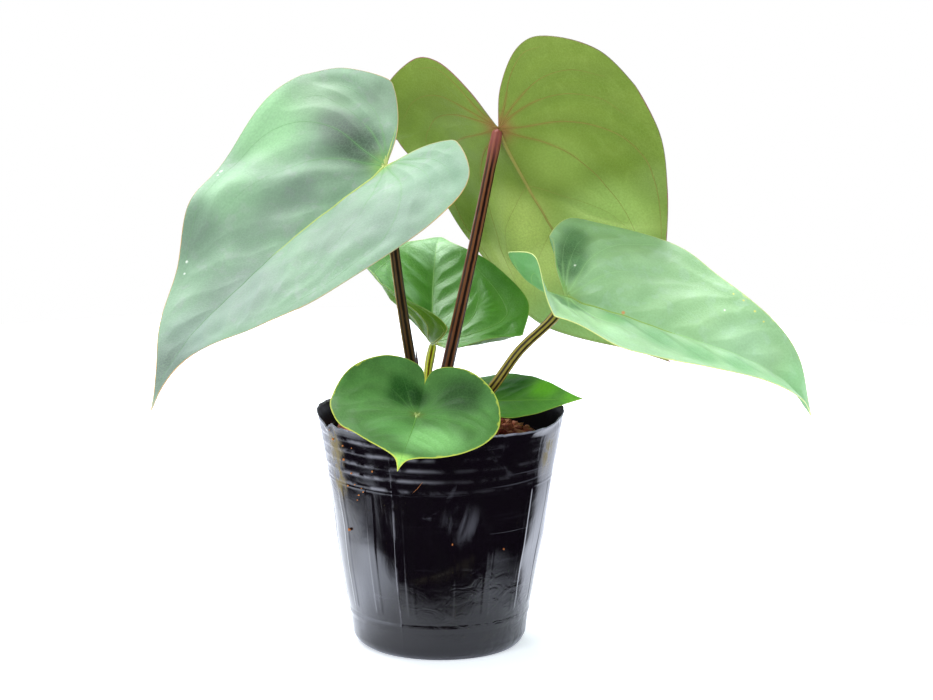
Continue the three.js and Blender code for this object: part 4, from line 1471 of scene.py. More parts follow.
@dataclass
class Crown:
    """The short stem with its leaf scars, and the thick roots that run down through the mix."""

    profile: tuple[tuple[float, float], ...] = (
        (0.02, 62), (5, 64), (7.6, 72), (8.8, 82), (9.6, 90), (9.3, 93.2), (8.2, 94.8), (4.5, 95.3),
        (0.02, 95.4),
    )
    root_radius: tuple[float, float] = (2.3, 1.3)
    seed: int = 707

    def stem(self) -> Shell:
        """The stem: a turned profile with scar rings and an uneven outside.

        Returns:
            The stem's surface.
        """
        line, sides = spline(self.profile, 90), 72
        angle = circle(sides)
        radius, height = line[:, :1], line[:, 1:]
        scars = 0.25 * np.sin(2 * np.pi * (height + 0.9 * np.sin(angle)) / 2.9) * smooth(radius, 3.0, 7.0)
        lobes = 0.35 * np.sin(5 * angle + height / 3) * smooth(radius, 3.0, 8.0)
        reach = np.maximum(radius + scars + lobes, 0.0)
        points = np.stack([reach * np.cos(angle), reach * np.sin(angle), height + 0 * angle], axis=-1)
        points = points.reshape(-1, 3)
        faces = lattice(len(line), sides, inside_out=True, closed=True)
        return Shell(points, faces, 0, {"tone": 0.5 + 0.5 * uneven(points, 4.0, 5)})

    def roots(self) -> list[Shell]:
        """Roots that leave the stem's side, arch out and run down.

        Returns:
            One rod for each root.
        """
        draw = np.random.default_rng(self.seed)
        thick, thin = self.root_radius
        shells = []
        for turn in np.linspace(0, 2 * np.pi, 6, endpoint=False) + draw.uniform(0, 0.4, 6):
            reach, start, end = draw.uniform(20, 25), draw.uniform(70, 80), draw.uniform(18, 30)
            drift = draw.uniform(-0.45, 0.45)
            radius = np.array([3, 0.6 * reach, reach, reach])
            height = np.array([start, start - 5, (start + end) / 2, end])
            way = turn + drift * np.array([0.0, 0.2, 0.6, 1.0])
            path = spline(np.stack([radius * np.cos(way), radius * np.sin(way), height], axis=-1), 50)
            shell = rod(path, lambda s, a: thick + (thin - thick) * s + 0.12 * np.sin(40 * s + a), 16)
            shell.values["tone"] = 0.6 + 0.3 * np.sin(20 * shell.values["share"])
            shells.append(shell)
        return shells

    def build(self) -> None:
        """Builds and dresses the crown and its roots."""
        finish = BarkFinish("scarred stem", shade(66, 52, 30), shade(128, 122, 70), 320.0).make()
        make_piece("scarred_crown", [self.stem(), *self.roots()], [finish], ["crown"])


@dataclass
class PottingMix:
    """Potting mix in its pot: an uneven bed, chips of bark lying on it, and strands of coir."""

    pot: "Pot"
    top: float = 88.0
    swell: float = 1.4
    chips: int = 520
    strands: int = 260
    seed: int = 11

    def height(self, x: Array, y: Array) -> Array:
        """Height of the bed's top: slow swells with lumps and crumbs on them, and a mound at the front right.

        Args:
            x: Places along X, of any shape.
            y: Places along Y.

        Returns:
            The heights.
        """
        slow = np.sin(x / 9 + 1) * np.cos(y / 11) + 0.6 * np.sin(x / 5 - y / 6)
        flat = np.stack([x, y], axis=-1)
        lumps = 0.9 * uneven(flat, 9.0, 3) + 0.55 * np.abs(uneven(flat, 3.2, 4)) + 0.3 * uneven(flat, 1.5, 6)
        mound = 2.2 * np.exp(-((x - 36) ** 2 + (y + 20) ** 2) / 160.0)
        return self.top + self.swell * slow + lumps + mound

    def bed(self) -> Shell:
        """The bed: rings from the middle of its top out to the wall, and down inside it to the pot's floor.

        Returns:
            The bed's surface.
        """
        sides = 220
        angle = circle(sides)[None, :]
        edge = self.pot.inside(self.top - 3) - 0.5
        reach = np.linspace(0.0, 1.0, 90)[:, None] * edge
        x, y = reach * np.cos(angle), reach * np.sin(angle)
        droop = 2.2 * smooth(reach, edge - 8, edge)
        top = np.stack([x, y, self.height(x, y) - droop], axis=-1)
        heights = np.array([80.0, 60.0, 40.0, 20.0, 5.0, 2.0])[:, None]
        radius = self.pot.inside(heights) - 0.6
        wall = np.stack([radius * np.cos(angle), radius * np.sin(angle), heights + 0 * angle], axis=-1)
        rings = np.concatenate([top, wall, np.repeat([[[0.0, 0.0, 2.0]]], sides, axis=1)])
        points = rings.reshape(-1, 3)
        tone = 0.42 + 0.25 * uneven(points, 5.0, 8)
        return Shell(points, lattice(len(rings), sides, closed=True), 0, {"tone": tone})

    def scattered(self, draw: np.random.Generator, count: int, edge: float) -> Array:
        """Places spread evenly over the bed's top, clear of the crown.

        Args:
            draw: The random numbers.
            count: Number of places.
            edge: How far out they go.

        Returns:
            The places, one per row.
        """
        radius = np.sqrt(draw.uniform((11.0 / edge) ** 2, 1.0, count)) * edge
        turn = draw.uniform(0, 2 * np.pi, count)
        x, y = radius * np.cos(turn), radius * np.sin(turn)
        return np.stack([x, y, self.height(x, y)], axis=-1)

    def bark(self) -> Shell:
        """Chips: one blocky lump, stretched, roughened and turned in its own way at each place.

        Returns:
            All chips.
        """
        draw = np.random.default_rng(self.seed)
        lump, faces = block(3)
        count = self.chips
        size = draw.lognormal(math.log(1.5), 0.45, (count, 1, 1))
        stretch = draw.uniform((0.8, 0.5, 0.3), (1.7, 1.0, 0.6), (count, 3))[:, None]
        chips = lump * (1 + 0.22 * draw.normal(size=(count, len(lump), 1))) * size * stretch
        turns = turn_about(2, draw.uniform(0, 360, count)) @ turn_about(1, draw.normal(0, 24, count))
        places = self.scattered(draw, count, self.pot.inside(self.top) - 2.5)
        points = chips @ np.swapaxes(turns, 1, 2) + places[:, None] + np.array([0, 0, 0.2]) * size
        tone = np.repeat(draw.uniform(0.0, 1.1, count), len(lump))
        return copies(points, faces, 1, {"tone": tone})

    def coir(self) -> Shell:
        """Strands: thin curved threads lying over the chips.

        Returns:
            All strands.
        """
        draw = np.random.default_rng(self.seed + 1)
        count, steps = self.strands, 9
        places = self.scattered(draw, count, self.pot.inside(self.top) - 7)
        turn = draw.uniform(0, 2 * np.pi, (count, 1))
        turn = turn + np.linspace(-1, 1, steps) * draw.normal(0, 0.9, (count, 1))
        step = draw.uniform(0.5, 1.5, (count, 1))
        x = places[:, :1] + np.cumsum(np.cos(turn) * step, axis=1)
        y = places[:, 1:2] + np.cumsum(np.sin(turn) * step, axis=1)
        lift = 0.9 + 0.9 * np.sin(np.linspace(0, np.pi, steps)) * draw.uniform(0, 1.6, (count, 1))
        paths = np.stack([x, y, self.height(x, y) + lift], axis=-1)
        return threads(paths, draw.uniform(0.08, 0.2, count), 2, draw.uniform(0.3, 1.1, count))

    def build(self) -> None:
        """Builds and dresses the mix."""
        finishes = [
            BarkFinish("coir bed", shade(144, 68, 58), shade(250, 146, 120), 420.0).make(),
            BarkFinish("bark chips", shade(154, 74, 62), shade(252, 170, 144), 260.0).make(),
            BarkFinish("coir strands", shade(128, 68, 44), shade(214, 142, 98), 600.0).make(),
        ]
        shells = [self.bed(), self.bark(), self.coir()]
        make_piece("potting_bed", shells, finishes, ["potting_mix"])


def levels(*spans: tuple[float, float, int]) -> Array:
    """Heights in rising order, as a column, from spans that give their two ends and how many lie in them."""
    return np.unique(np.concatenate([np.linspace(*span) for span in spans]))[:, None]


def around_pot(radius: Array, height: Array, angle: Array) -> Array:
    """Points at radii, heights and angles in degrees from the front, towards +X."""
    turn = np.radians(angle)
    return np.stack([radius * np.sin(turn), -radius * np.cos(turn), height + 0 * radius], axis=-1)


@dataclass
class Pot:
    """The thin black nursery pot: ribs below, level ridges on the collar, a flared rim with a rough trim.

    Angles run in degrees from the front, towards +X.
    """

    wall: tuple[tuple[float, float], ...] = (
        (0, 34.8), (1.2, 35.9), (4.5, 37.4), (13, 38.4), (15.2, 39.1), (17, 39.2), (18.6, 39.5), (37, 43.5),
        (50, 45.9), (66, 48.1), (78, 49.7), (96, 52.9), (100, 53.7), (102, 54.2), (104, 55),
    )
    thickness: float = 1.1
    height: float = 104.0
    ribs: int = 16
    rib_turn: float = 5.5
    rib_rise: float = 0.2
    rib_span: tuple[float, float] = (19.5, 77.0)
    ridges: tuple[float, ...] = (79, 84, 89, 94, 99)
    ridge_rise: float = 0.11
    seam_turn: float = -24.6
    holes: int = 8
    hole_radius: float = 4.5
    hole_circle: float = 26.0
    base_radius: float = 34.3
    base_heights: tuple[float, float] = (0.15, 1.0)

    RIB_STEPS = (0, 1, 1.7, 2.2, 2.6, 2.9, 3.2, 3.7)
    BETWEEN_RIBS = (5.5, 8, 11.25, 14.5)
    SEAM_STEPS = (-0.9, -0.5, -0.25, 0.0, 0.25, 0.5, 0.9)

    def outside(self, height: Array | float) -> Array:
        """Radius of the plain outside at a height."""
        heights, radii = zip(*self.wall)
        return np.interp(height, heights, radii)

    def inside(self, height: Array | float) -> Array:
        """Radius of the inside at a height."""
        return self.outside(height) - self.thickness

    def angles(self) -> Array:
        """Angles round the pot, close together at each rib's two edges and at the seam.

        Returns:
            The angles, rising.
        """
        offsets = np.array([*(-step for step in self.RIB_STEPS[1:]), *self.RIB_STEPS, *self.BETWEEN_RIBS])
        turns = self.rib_turn + np.arange(self.ribs) * 360.0 / self.ribs
        seam = self.seam_turn + np.array(self.SEAM_STEPS)
        return np.sort(np.concatenate([(turns[:, None] + offsets).ravel(), seam]) % 360.0)

    def crest(self, height: Array, angle: Array) -> Array:
        """How near a place is to the top of a ridge. The ridges are sharpest at the left; the finish paints
        highlights on their tops.
        """
        ridge_strength = 0.12 + 0.88 * smooth(np.cos(np.radians(angle + 52)), 0.5, 0.95)
        return ridge_strength * sum(bell(height - ridge, 0.75) for ridge in self.ridges)

    def seam(self, height: Array, angle: Array) -> Array:
        """How near a place is to the upright seam of the mould."""
        off = (angle - self.seam_turn + 180) % 360 - 180
        return bell(off, 0.45) * smooth(height, 3, 8)

    def rise(self, height: Array, angle: Array) -> Array:
        """How far the outside stands over the plain wall.

        It has ribs, ridges, the mould seam, creases in the thin plastic, and a swell low down that is greatest
        at the left.

        Args:
            height: Heights.
            angle: Angles.

        Returns:
            The rise at each place.
        """
        height, angle = np.broadcast_arrays(height, angle)
        turn = np.radians(angle)
        bottom, top = self.rib_span
        pitch = 360.0 / self.ribs
        off = np.abs((angle - self.rib_turn + pitch / 2) % pitch - pitch / 2)
        band = smooth(height, bottom, bottom + 1.6) * (1 - smooth(height, top - 1.6, top))
        ribs = (self.rib_rise * (1 - smooth(off, 1.8, 3.3)) - 0.07 * bell(off, 0.9)) * band
        ridges = self.ridge_rise * self.crest(height, angle) + 0.12 * bell(height - 77.4, 0.5)
        groove = -0.05 * bell(height - 17.0, 0.35)
        seam = 0.13 * self.seam(height, angle)
        unrolled = np.stack([np.cos(turn) * 48, np.sin(turn) * 48, 0.55 * height], axis=-1)
        creases = 0.34 * uneven(unrolled, 46.0, 21) + 0.10 * uneven(unrolled, 17.0, 22)
        creases = creases * smooth(height, 16, 40) * (1 - 0.6 * smooth(height, 74, 82))
        belly = (1.1 - 0.7 * np.sin(turn)) * (1 - smooth(height, 16, 64)) * smooth(height, -1, 3)
        return ribs + ridges + groove + seam + creases + belly

    def side_wall(self) -> list[Shell]:
        """The wall as two bands: outside from the base to the rim and over the trimmed edge, and down inside.

        Near the rim the wall flares unevenly and its height follows the ragged trim.

        Returns:
            The outside and the inside.
        """
        angle = self.angles()[None, :]
        outer = levels((0, 5, 8), (12, 20, 26), (20, 77, 42), (76, 101, 92), (101, self.height, 7))
        inner = levels((0.5, 0.5, 1), (1, 78, 14), (80, 101, 15), (101.5, self.height, 6))[::-1]
        edge = np.stack([np.cos(np.radians(angle)), np.sin(np.radians(angle))], axis=-1) * 55
        ragged = 0.16 * uneven(edge, 9.0, 31) + 0.12 * uneven(edge, 2.6, 32)
        notch = -1.8 * bell(angle - 296, 2.6) + 0.7 * bell(angle - 302, 2.0)
        flare = 0.45 * uneven(edge, 38.0, 33) + 0.5 * ragged
        out_radius = self.outside(outer) + self.rise(outer, angle) + smooth(outer, 99.5, self.height) * flare
        in_radius = self.inside(inner) + 0.75 * smooth(inner, 101, self.height)
        in_radius = in_radius + smooth(inner, 99.5, self.height) * flare
        out_height, in_height = (z + smooth(z, 98, self.height) * (ragged + notch) for z in (outer, inner))
        lip = 0.5 * (out_radius[-1:] + in_radius[:1])
        rings = np.concatenate([
            around_pot(out_radius, out_height, angle + 0 * out_radius),
            around_pot(lip, out_height[-1:] + 0.22, angle),
            around_pot(in_radius, in_height, angle + 0 * in_radius),
        ])
        heights = np.concatenate([outer, [[self.height + 0.3]], inner])
        chalk = smooth(heights, 103.0, 103.8) * np.clip(0.85 + 0.9 * ragged, 0, 1)
        # Ridge tops and the low seam, where the finish paints highlights.
        ridge_highlight = self.crest(outer, angle) + 0.6 * self.seam(outer, angle) * (1 - smooth(outer, 84, 88))
        ridge_highlight = np.concatenate([ridge_highlight, np.zeros((len(rings) - len(outer), angle.size))])
        shells = []
        for finish, band in ((0, slice(0, len(outer) + 2)), (2, [*range(len(outer) + 1, len(rings)), 0])):
            faces = lattice(len(rings[band]), angle.size, inside_out=True, closed=True)
            values = {"rim": chalk[band].ravel(), "crest": ridge_highlight[band].ravel()}
            shells.append(Shell(rings[band].reshape(-1, 3), faces, finish, values))
        return shells

    def base(self) -> Shell:
        """The base with its drain holes: a slab of equal parts, each a band from its hole to its own edges.

        From a hole's middle, a part ends where the way meets the base's outer circle or the part's sides.

        Returns:
            The slab.
        """
        low, high = self.base_heights
        part = math.pi / self.holes
        centre, reach = self.hole_circle, self.base_radius
        corner = math.atan2(reach * math.sin(part), reach * math.cos(part) - centre)
        ways = np.sort(np.append(np.linspace(0, math.pi, 25), corner))
        ways = np.concatenate([ways, -ways[-2:0:-1]])
        ahead, aside = np.cos(ways), np.sin(ways)
        to_arc = -centre * ahead + np.sqrt(reach**2 - (centre * aside) ** 2)
        bend = np.abs(aside) * math.cos(part) - ahead * math.sin(part)
        to_side = np.where(bend > 1e-9, centre * math.sin(part) / np.maximum(bend, 1e-9), np.inf)
        far = np.minimum(to_arc, to_side)
        near = np.full_like(far, self.hole_radius)
        rings = [(near, low), (far, low), (far, high), (near, high), (near, low)]
        rings = [np.stack([centre + r * ahead, r * aside, 0 * r + z], axis=-1) for r, z in rings]
        flat = np.concatenate(rings)
        turns = turn_about(2, (np.arange(self.holes) + 0.5) * 360.0 / self.holes)
        points = flat @ np.swapaxes(turns, 1, 2)
        faces = lattice(len(rings), len(ways), closed=True, inside_out=True)
        return copies(points, faces, 0, {"rim": np.zeros(self.holes * len(flat))})

    def crumbs(self) -> list[Shell]:
        """Crumbs, a strand of coir and a scratch on the outside.

        Returns:
            The crumbs, the strand and the scratch.
        """
        draw = np.random.default_rng(5)
        lump, faces = block(2)
        spots = (
            (-53.5, 89.5), (-49, 84), (-53.5, 77.5), (-47.5, 79), (-43, 78), (-42, 76.5), (-45.5, 74.5),
            (-47, 72), (-46, 96), (-60.5, 97.5), (-62, 101.5), (-52.5, 96), (-34.5, 87), (-58, 56.5),
            (-57.5, 56.5), (-5.5, 29.5), (36.5, 51), (6.5, 55.5),
        )
        angle, height = np.array(spots).T
        places = around_pot(self.outside(height) + 0.35, height, angle)
        size = draw.uniform(0.22, 0.6, (len(spots), 1, 1))
        points = lump * size * draw.uniform(0.5, 1.2, (len(spots), 1, 3)) + places[:, None]
        crumbs = copies(points, faces, 1, {"tone": np.repeat(draw.uniform(0.5, 1.1, len(spots)), len(lump))})
        run = np.linspace(0, 1, 17)
        height, angle = 79 + 5.5 * run, -13.5 + 5.5 * run + 0.25 * np.sin(4 * run)
        strand = around_pot(self.outside(height) + 0.7, height, angle)
        height, angle = 59 - 0.5 * run, 26 + 28 * run
        scratch = around_pot(self.outside(height) + self.rise(height, angle), height, angle)
        scratch = threads(scratch[None], np.array([0.12]), 0, np.array([0.9]))
        scratch.values["rim"] = np.full(len(scratch.points), 0.55)
        return [crumbs, threads(strand[None], np.array([0.1]), 1, np.array([1.0])), scratch]

    def build(self) -> None:
        """Builds and dresses the pot."""
        inner = PotFinish("black inner film", gloss=0.12, roughness=0.5)
        crumbs = BarkFinish("stuck crumbs", shade(120, 66, 34), shade(190, 120, 70))
        finishes = [PotFinish().make(), crumbs.make(), inner.make()]
        shells = [*self.side_wall(), self.base(), *self.crumbs()]
        make_piece("nursery_pot", shells, finishes, ["pot"])


# The plant's leaves


def front_left_leaf() -> Leaf:
    """The pale leaf at the front left, its tip turned to the left.

    Returns:
        The leaf.
    """
    form = LeafForm(
        joint=(-23.5, -12, 215), heading=-156, pitch=-30, roll=-15, length=152.5,
        sinus=0.31, widest=0.07, tip_fill=-0.03, side_fill=0.07,
        droop=16, hook=-14, lobe_bend=23, sweep=4, tip_sweep=43, twist=-4,
        left=Half(62, 26.5, (21, 28, 8), (-29, -43, -21), (0, -2, -0.5, -1.5, -1)),
        right=Half(62, 32.5, (21, 34, -2), (-2, -21, -9), (-3.5, 8.5, -2.5, 4, 1)),
        quilt=1.3, quilt_width=6.5, ripple=0.05, ripple_step=6.0, drip=5.5, seed=3,
    )
    upper = LeafFinish(
        "pale front leaf, upper", *shades((132, 162, 136), (100, 130, 106), (154, 196, 156),
        (92, 144, 84), (196, 150, 74), (128, 176, 70), (52, 120, 40)),
        roughness=0.6, sheen=0.12, shine=0.3, lines=0.12, crease_shade=0.45, mottling=0.45,
        bloom=shade(146, 156, 152),
        # Soft spots of painted light and shade: painted shade by the joint, the midrib and the sinus, and painted
        # sheen on the panels.
        painted_light_and_dust_patches=(
            Fleck(24, -53, 28, (152, 206, 148), 0.7), Fleck(0, -46, 22, (134, 164, 132), 0.6),
            Fleck(56, -37, 18, (150, 198, 150), 0.45), Fleck(-24.7, -27.3, 16, (112, 134, 114), 0.6),
            Fleck(2, -17, 19, (54, 76, 58), 0.92), Fleck(2, -9, 10, (66, 90, 70), 0.4),
            Fleck(4, -29, 14, (104, 112, 108), 0.6), Fleck(20, -18, 13, (96, 124, 100), 0.5),
            Fleck(36, -14.5, 13, (98, 116, 106), 0.55), Fleck(50, -14, 13, (100, 120, 106), 0.55),
            Fleck(64, -15, 15, (98, 124, 104), 0.6), Fleck(92.5, -9.6, 14, (104, 130, 110), 0.5),
            Fleck(78.7, -37.5, 17, (98, 124, 104), 0.65), Fleck(78, -28, 12, (104, 130, 110), 0.4),
            Fleck(84, 10, 30, (128, 142, 136), 0.7), Fleck(115, 1.5, 24, (118, 136, 128), 0.75),
            Fleck(136, 0, 26, (74, 92, 82), 0.92), Fleck(-7, 44, 26, (112, 144, 120), 0.85),
            Fleck(20, 46, 26, (116, 138, 124), 0.75), Fleck(38, 24, 26, (118, 136, 124), 0.7),
        ),
        flecks=(
            Fleck(51.7, -51.8, 1.1, (215, 228, 212)), Fleck(89.2, -31.5, 0.9, (215, 228, 212)),
            Fleck(54, -50.5, 0.7, (205, 220, 205)), Fleck(93.5, -28.5, 0.7, (205, 220, 205)),
        ),
    )
    under = LeafFinish(
        "pale front leaf, under", *shades((140, 168, 104), (112, 140, 80), (164, 190, 126),
        (168, 190, 96), (190, 140, 90), (140, 130, 80), (160, 180, 90)),
        roughness=0.55, net=0.7,
    )
    stalk = StalkFinish(
        "dark stalk", *shades((86, 60, 26), (28, 20, 8), (110, 90, 46), (148, 120, 34))
    )
    path = ((-5, -1.8, 95.7), (-8.6, -1.9, 105), (-13, -3, 127), (-19.7, -9, 175))
    return Leaf(
        "front_left", form, upper, under, stalk, ("silver_leaf", "maroon_stalk"), path, (2.5, 2.2),
        upper_veins=VeinStyle(0.46, 0.2, 0.13, 1.0, 1.0, 0.6),
    )


def back_right_leaf() -> Leaf:
    """The tallest leaf, at the back right, which stands upright and shows its underside.

    Returns:
        The leaf.
    """
    form = LeafForm(
        joint=(25.5, 30, 225.5), heading=33, pitch=-61, roll=-32, length=163.5,
        sinus=0.23, widest=0.13, tip_fill=-0.04, side_fill=0.04,
        droop=-21, hook=-12, lobe_bend=24, sweep=-4, tip_sweep=-4, twist=-4,
        left=Half(61.5, 39.5, (11, 17, -23), (-13, 17, 7), (-7.5, 4, 1, 0.5, 0), lip=-92),
        right=Half(67.5, 37, (2, 11, 5), (-1, -2, 0), (0, 0, -0.5, -0.5, 0.5)),
        quilt=0.8, quilt_width=6.0, ripple=0.05, ripple_step=5.0, seed=5,
    )
    upper = LeafFinish(
        "tall leaf, upper", *shades((104, 142, 104), (84, 118, 84), (126, 168, 122),
        (140, 180, 110), (120, 60, 60), (120, 140, 80), (130, 170, 90)),
        roughness=0.5, sheen=0.08, shine=0.4,
    )
    under = LeafFinish(
        "tall leaf, under", *shades((120, 144, 58), (98, 120, 42), (146, 170, 86),
        (138, 104, 54), (160, 84, 104), (160, 104, 74), (152, 150, 78)),
        roughness=0.6, shine=0.12, net=0.8, crease_shade=0.4,
        # Soft spots of painted light low on the blade, where light shines through, and of painted shade at the
        # left.
        painted_light_and_dust_patches=(
            Fleck(75, 21.7, 34, (192, 214, 120), 0.8), Fleck(50, 14, 26, (200, 220, 122), 0.8),
            Fleck(63.3, -25.7, 32, (184, 214, 122), 0.8), Fleck(109, 20, 34, (142, 186, 112), 0.7),
            Fleck(25, -19, 20, (152, 178, 88), 0.6), Fleck(-17, 26.7, 20, (104, 122, 44), 0.6),
            Fleck(50.7, -54.5, 16, (138, 160, 90), 0.5),
        ),
    )
    stalk = StalkFinish(
        "maroon stalk", *shades((122, 72, 40), (36, 14, 8), (146, 78, 70), (112, 62, 36))
    )
    path = ((-0.6, 2.2, 95.7), (-0.8, 3.2, 106), (3.2, 7, 124), (14.3, 17, 173))
    return Leaf(
        "back_right", form, upper, under, stalk, ("olive_leaf", "maroon_stalk"), path, (2.9, 2.4),
        under_veins=VeinStyle(0.85, 0.36, 0.22, 0.85, 0.9),
    )


def right_leaf() -> Leaf:
    """The pale leaf at the right, with raised panels and a yellow margin.

    Returns:
        The leaf.
    """
    form = LeafForm(
        joint=(55, -6, 156.5), heading=-8, pitch=-15, roll=24, length=128,
        sinus=0.4, widest=0.09, tip_fill=0.1, side_fill=0.03,
        droop=13, hook=45, lobe_bend=23, sweep=8, tip_sweep=12, twist=-3,
        left=Half(56, 17, (25, 26, 29), (-33, -42, 1), (2, -2.5, 0.5, 0, -0.5)),
        right=Half(44, 36, (49, 27, 12), (10, -17, -5), (-1, -1, -1.5, 4, 8)),
        quilt=1.25, quilt_width=5.4, ripple=0.07, ripple_step=5.4, drip=1.5, seed=8,
    )
    upper = LeafFinish(
        "pale right leaf, upper", *shades((164, 208, 154), (120, 170, 112), (186, 232, 178),
        (158, 210, 136), (214, 222, 130), (136, 180, 96), (166, 222, 146)),
        yellowing=0.35, roughness=0.46, sheen=0.1, coat=0.1, lines=0.25, crease_shade=0.35, mottling=0.3,
        bloom=shade(176, 210, 186),
        # Soft spots of painted shade in the wedge by the sinus and along the front half, and of painted light near
        # the tip.
        painted_light_and_dust_patches=(
            Fleck(-6, 8, 8, (70, 118, 70), 0.8), Fleck(-4, 16, 11, (58, 104, 58), 0.92),
            Fleck(-5, 26, 12, (58, 104, 58), 0.92), Fleck(-5, 36, 11, (74, 124, 74), 0.8),
            Fleck(0, 20, 8, (96, 146, 96), 0.6), Fleck(-22, -26, 20, (104, 172, 96), 0.8),
            Fleck(1, -10, 14, (72, 134, 76), 0.85), Fleck(25, -10, 12, (92, 164, 92), 0.75),
            Fleck(43.5, -15, 14, (92, 164, 92), 0.75), Fleck(61.5, -15, 14, (92, 164, 92), 0.75),
            Fleck(79.7, -11, 12, (92, 164, 92), 0.75), Fleck(97, -14, 10, (120, 194, 118), 0.5),
            Fleck(24, -30, 9, (176, 224, 176), 0.5), Fleck(113, 1.5, 18, (152, 216, 148), 0.7),
            Fleck(80, 4, 20, (178, 220, 184), 0.4),
        ),
        flecks=(
            Fleck(25.8, 1.2, 1.2, (214, 150, 90)), Fleck(14.3, -18.8, 1.0, (120, 80, 40)),
            Fleck(-0.8, 17.7, 0.8, (230, 240, 225)), Fleck(68, 18.4, 0.7, (235, 245, 230)),
            Fleck(75, 26.5, 0.8, (224, 220, 110)), Fleck(70, 28.5, 0.7, (224, 220, 110)),
            Fleck(81, 23, 0.8, (224, 220, 110)), Fleck(86, 20, 0.6, (224, 220, 110)),
        ),
    )
    under = LeafFinish(
        "pale right leaf, under", *shades((104, 170, 96), (80, 146, 72), (132, 194, 120),
        (140, 190, 100), (214, 214, 140), (140, 140, 80), (150, 186, 96)),
        roughness=0.55, net=0.7,
    )
    stalk = StalkFinish(
        "olive stalk", *shades((150, 134, 50), (44, 34, 10), (120, 136, 50), (132, 120, 38))
    )
    path = (
        (5.4, -3, 95.6), (6.1, -3.5, 98.4), (12, -7.5, 104.5), (22.6, -11.5, 117), (34.8, -11, 133.8),
        (49.6, -8, 147.8),
    )
    return Leaf(
        "right", form, upper, under, stalk, ("silver_leaf", "olive_stalk"), path, (2.4, 2.1),
        upper_veins=VeinStyle(0.38, 0.15, 0.1, 0.5, 0.5, 0.5),
    )


def back_leaf() -> Leaf:
    """The dark glossy leaf behind the pot's middle, quilted, with its crest to the back.

    Returns:
        The leaf.
    """
    form = LeafForm(
        joint=(-3.5, 34, 127.5), heading=93, pitch=26, roll=13, length=73.5,
        sinus=0.32, widest=0.03, tip_fill=0, side_fill=0.24,
        droop=-40, hook=66, lobe_bend=23, sweep=1, tip_sweep=-21, twist=-13,
        left=Half(43, 26.5, (126, 43, 2), (-147, -1, 1), (0, 0.5, 0, -0.5, -1)),
        right=Half(41, 19, (61, 29, 9), (-45, -21, -6), (-0.5, 0.5, -0.5, 0.5, -1)),
        quilt=1.0, quilt_width=3.6, ripple=0.14, ripple_step=4.4, unevenness=0.25, throat=4.0, seed=12,
    )
    upper = LeafFinish(
        "dark back leaf, upper", *shades((80, 146, 46), (52, 112, 30), (120, 176, 94),
        (140, 190, 96), (150, 180, 80), (120, 140, 60), (140, 190, 110)),
        clouding=0.8, roughness=0.42, coat=0.05, net=0.8,
        # Soft spots of painted highlight on the crest and the upper panels.
        painted_light_and_dust_patches=(
            Fleck(55, 2.3, 14, (158, 204, 154), 0.7), Fleck(24.3, 13.6, 8, (158, 204, 156), 0.6),
            Fleck(40, -12, 10, (110, 170, 90), 0.4),
        ),
    )
    under = LeafFinish(
        "dark back leaf, under", *shades((78, 128, 18), (60, 104, 12), (104, 148, 36),
        (170, 190, 96), (196, 196, 92), (150, 150, 80), (160, 180, 90)),
        roughness=0.5, shine=0.15, net=0.8,
    )
    stalk = StalkFinish(
        "yellow stalk", *shades((236, 236, 74), (120, 96, 30), (170, 188, 66), (240, 252, 84))
    )
    path = ((-3.9, 6.2, 95.6), (-4.3, 7, 98.6), (-6.1, 13, 106), (-5.8, 21, 117))
    return Leaf(
        "back", form, upper, under, stalk, ("deep_leaf", "yellow_stalk"), path, (2.1, 1.8), 190, 38,
        VeinStyle(0.5, 0.3, 0.2, 0.9, 0.9), VeinStyle(0.9, 0.5, 0.3, 0.9, 1.6),
    )


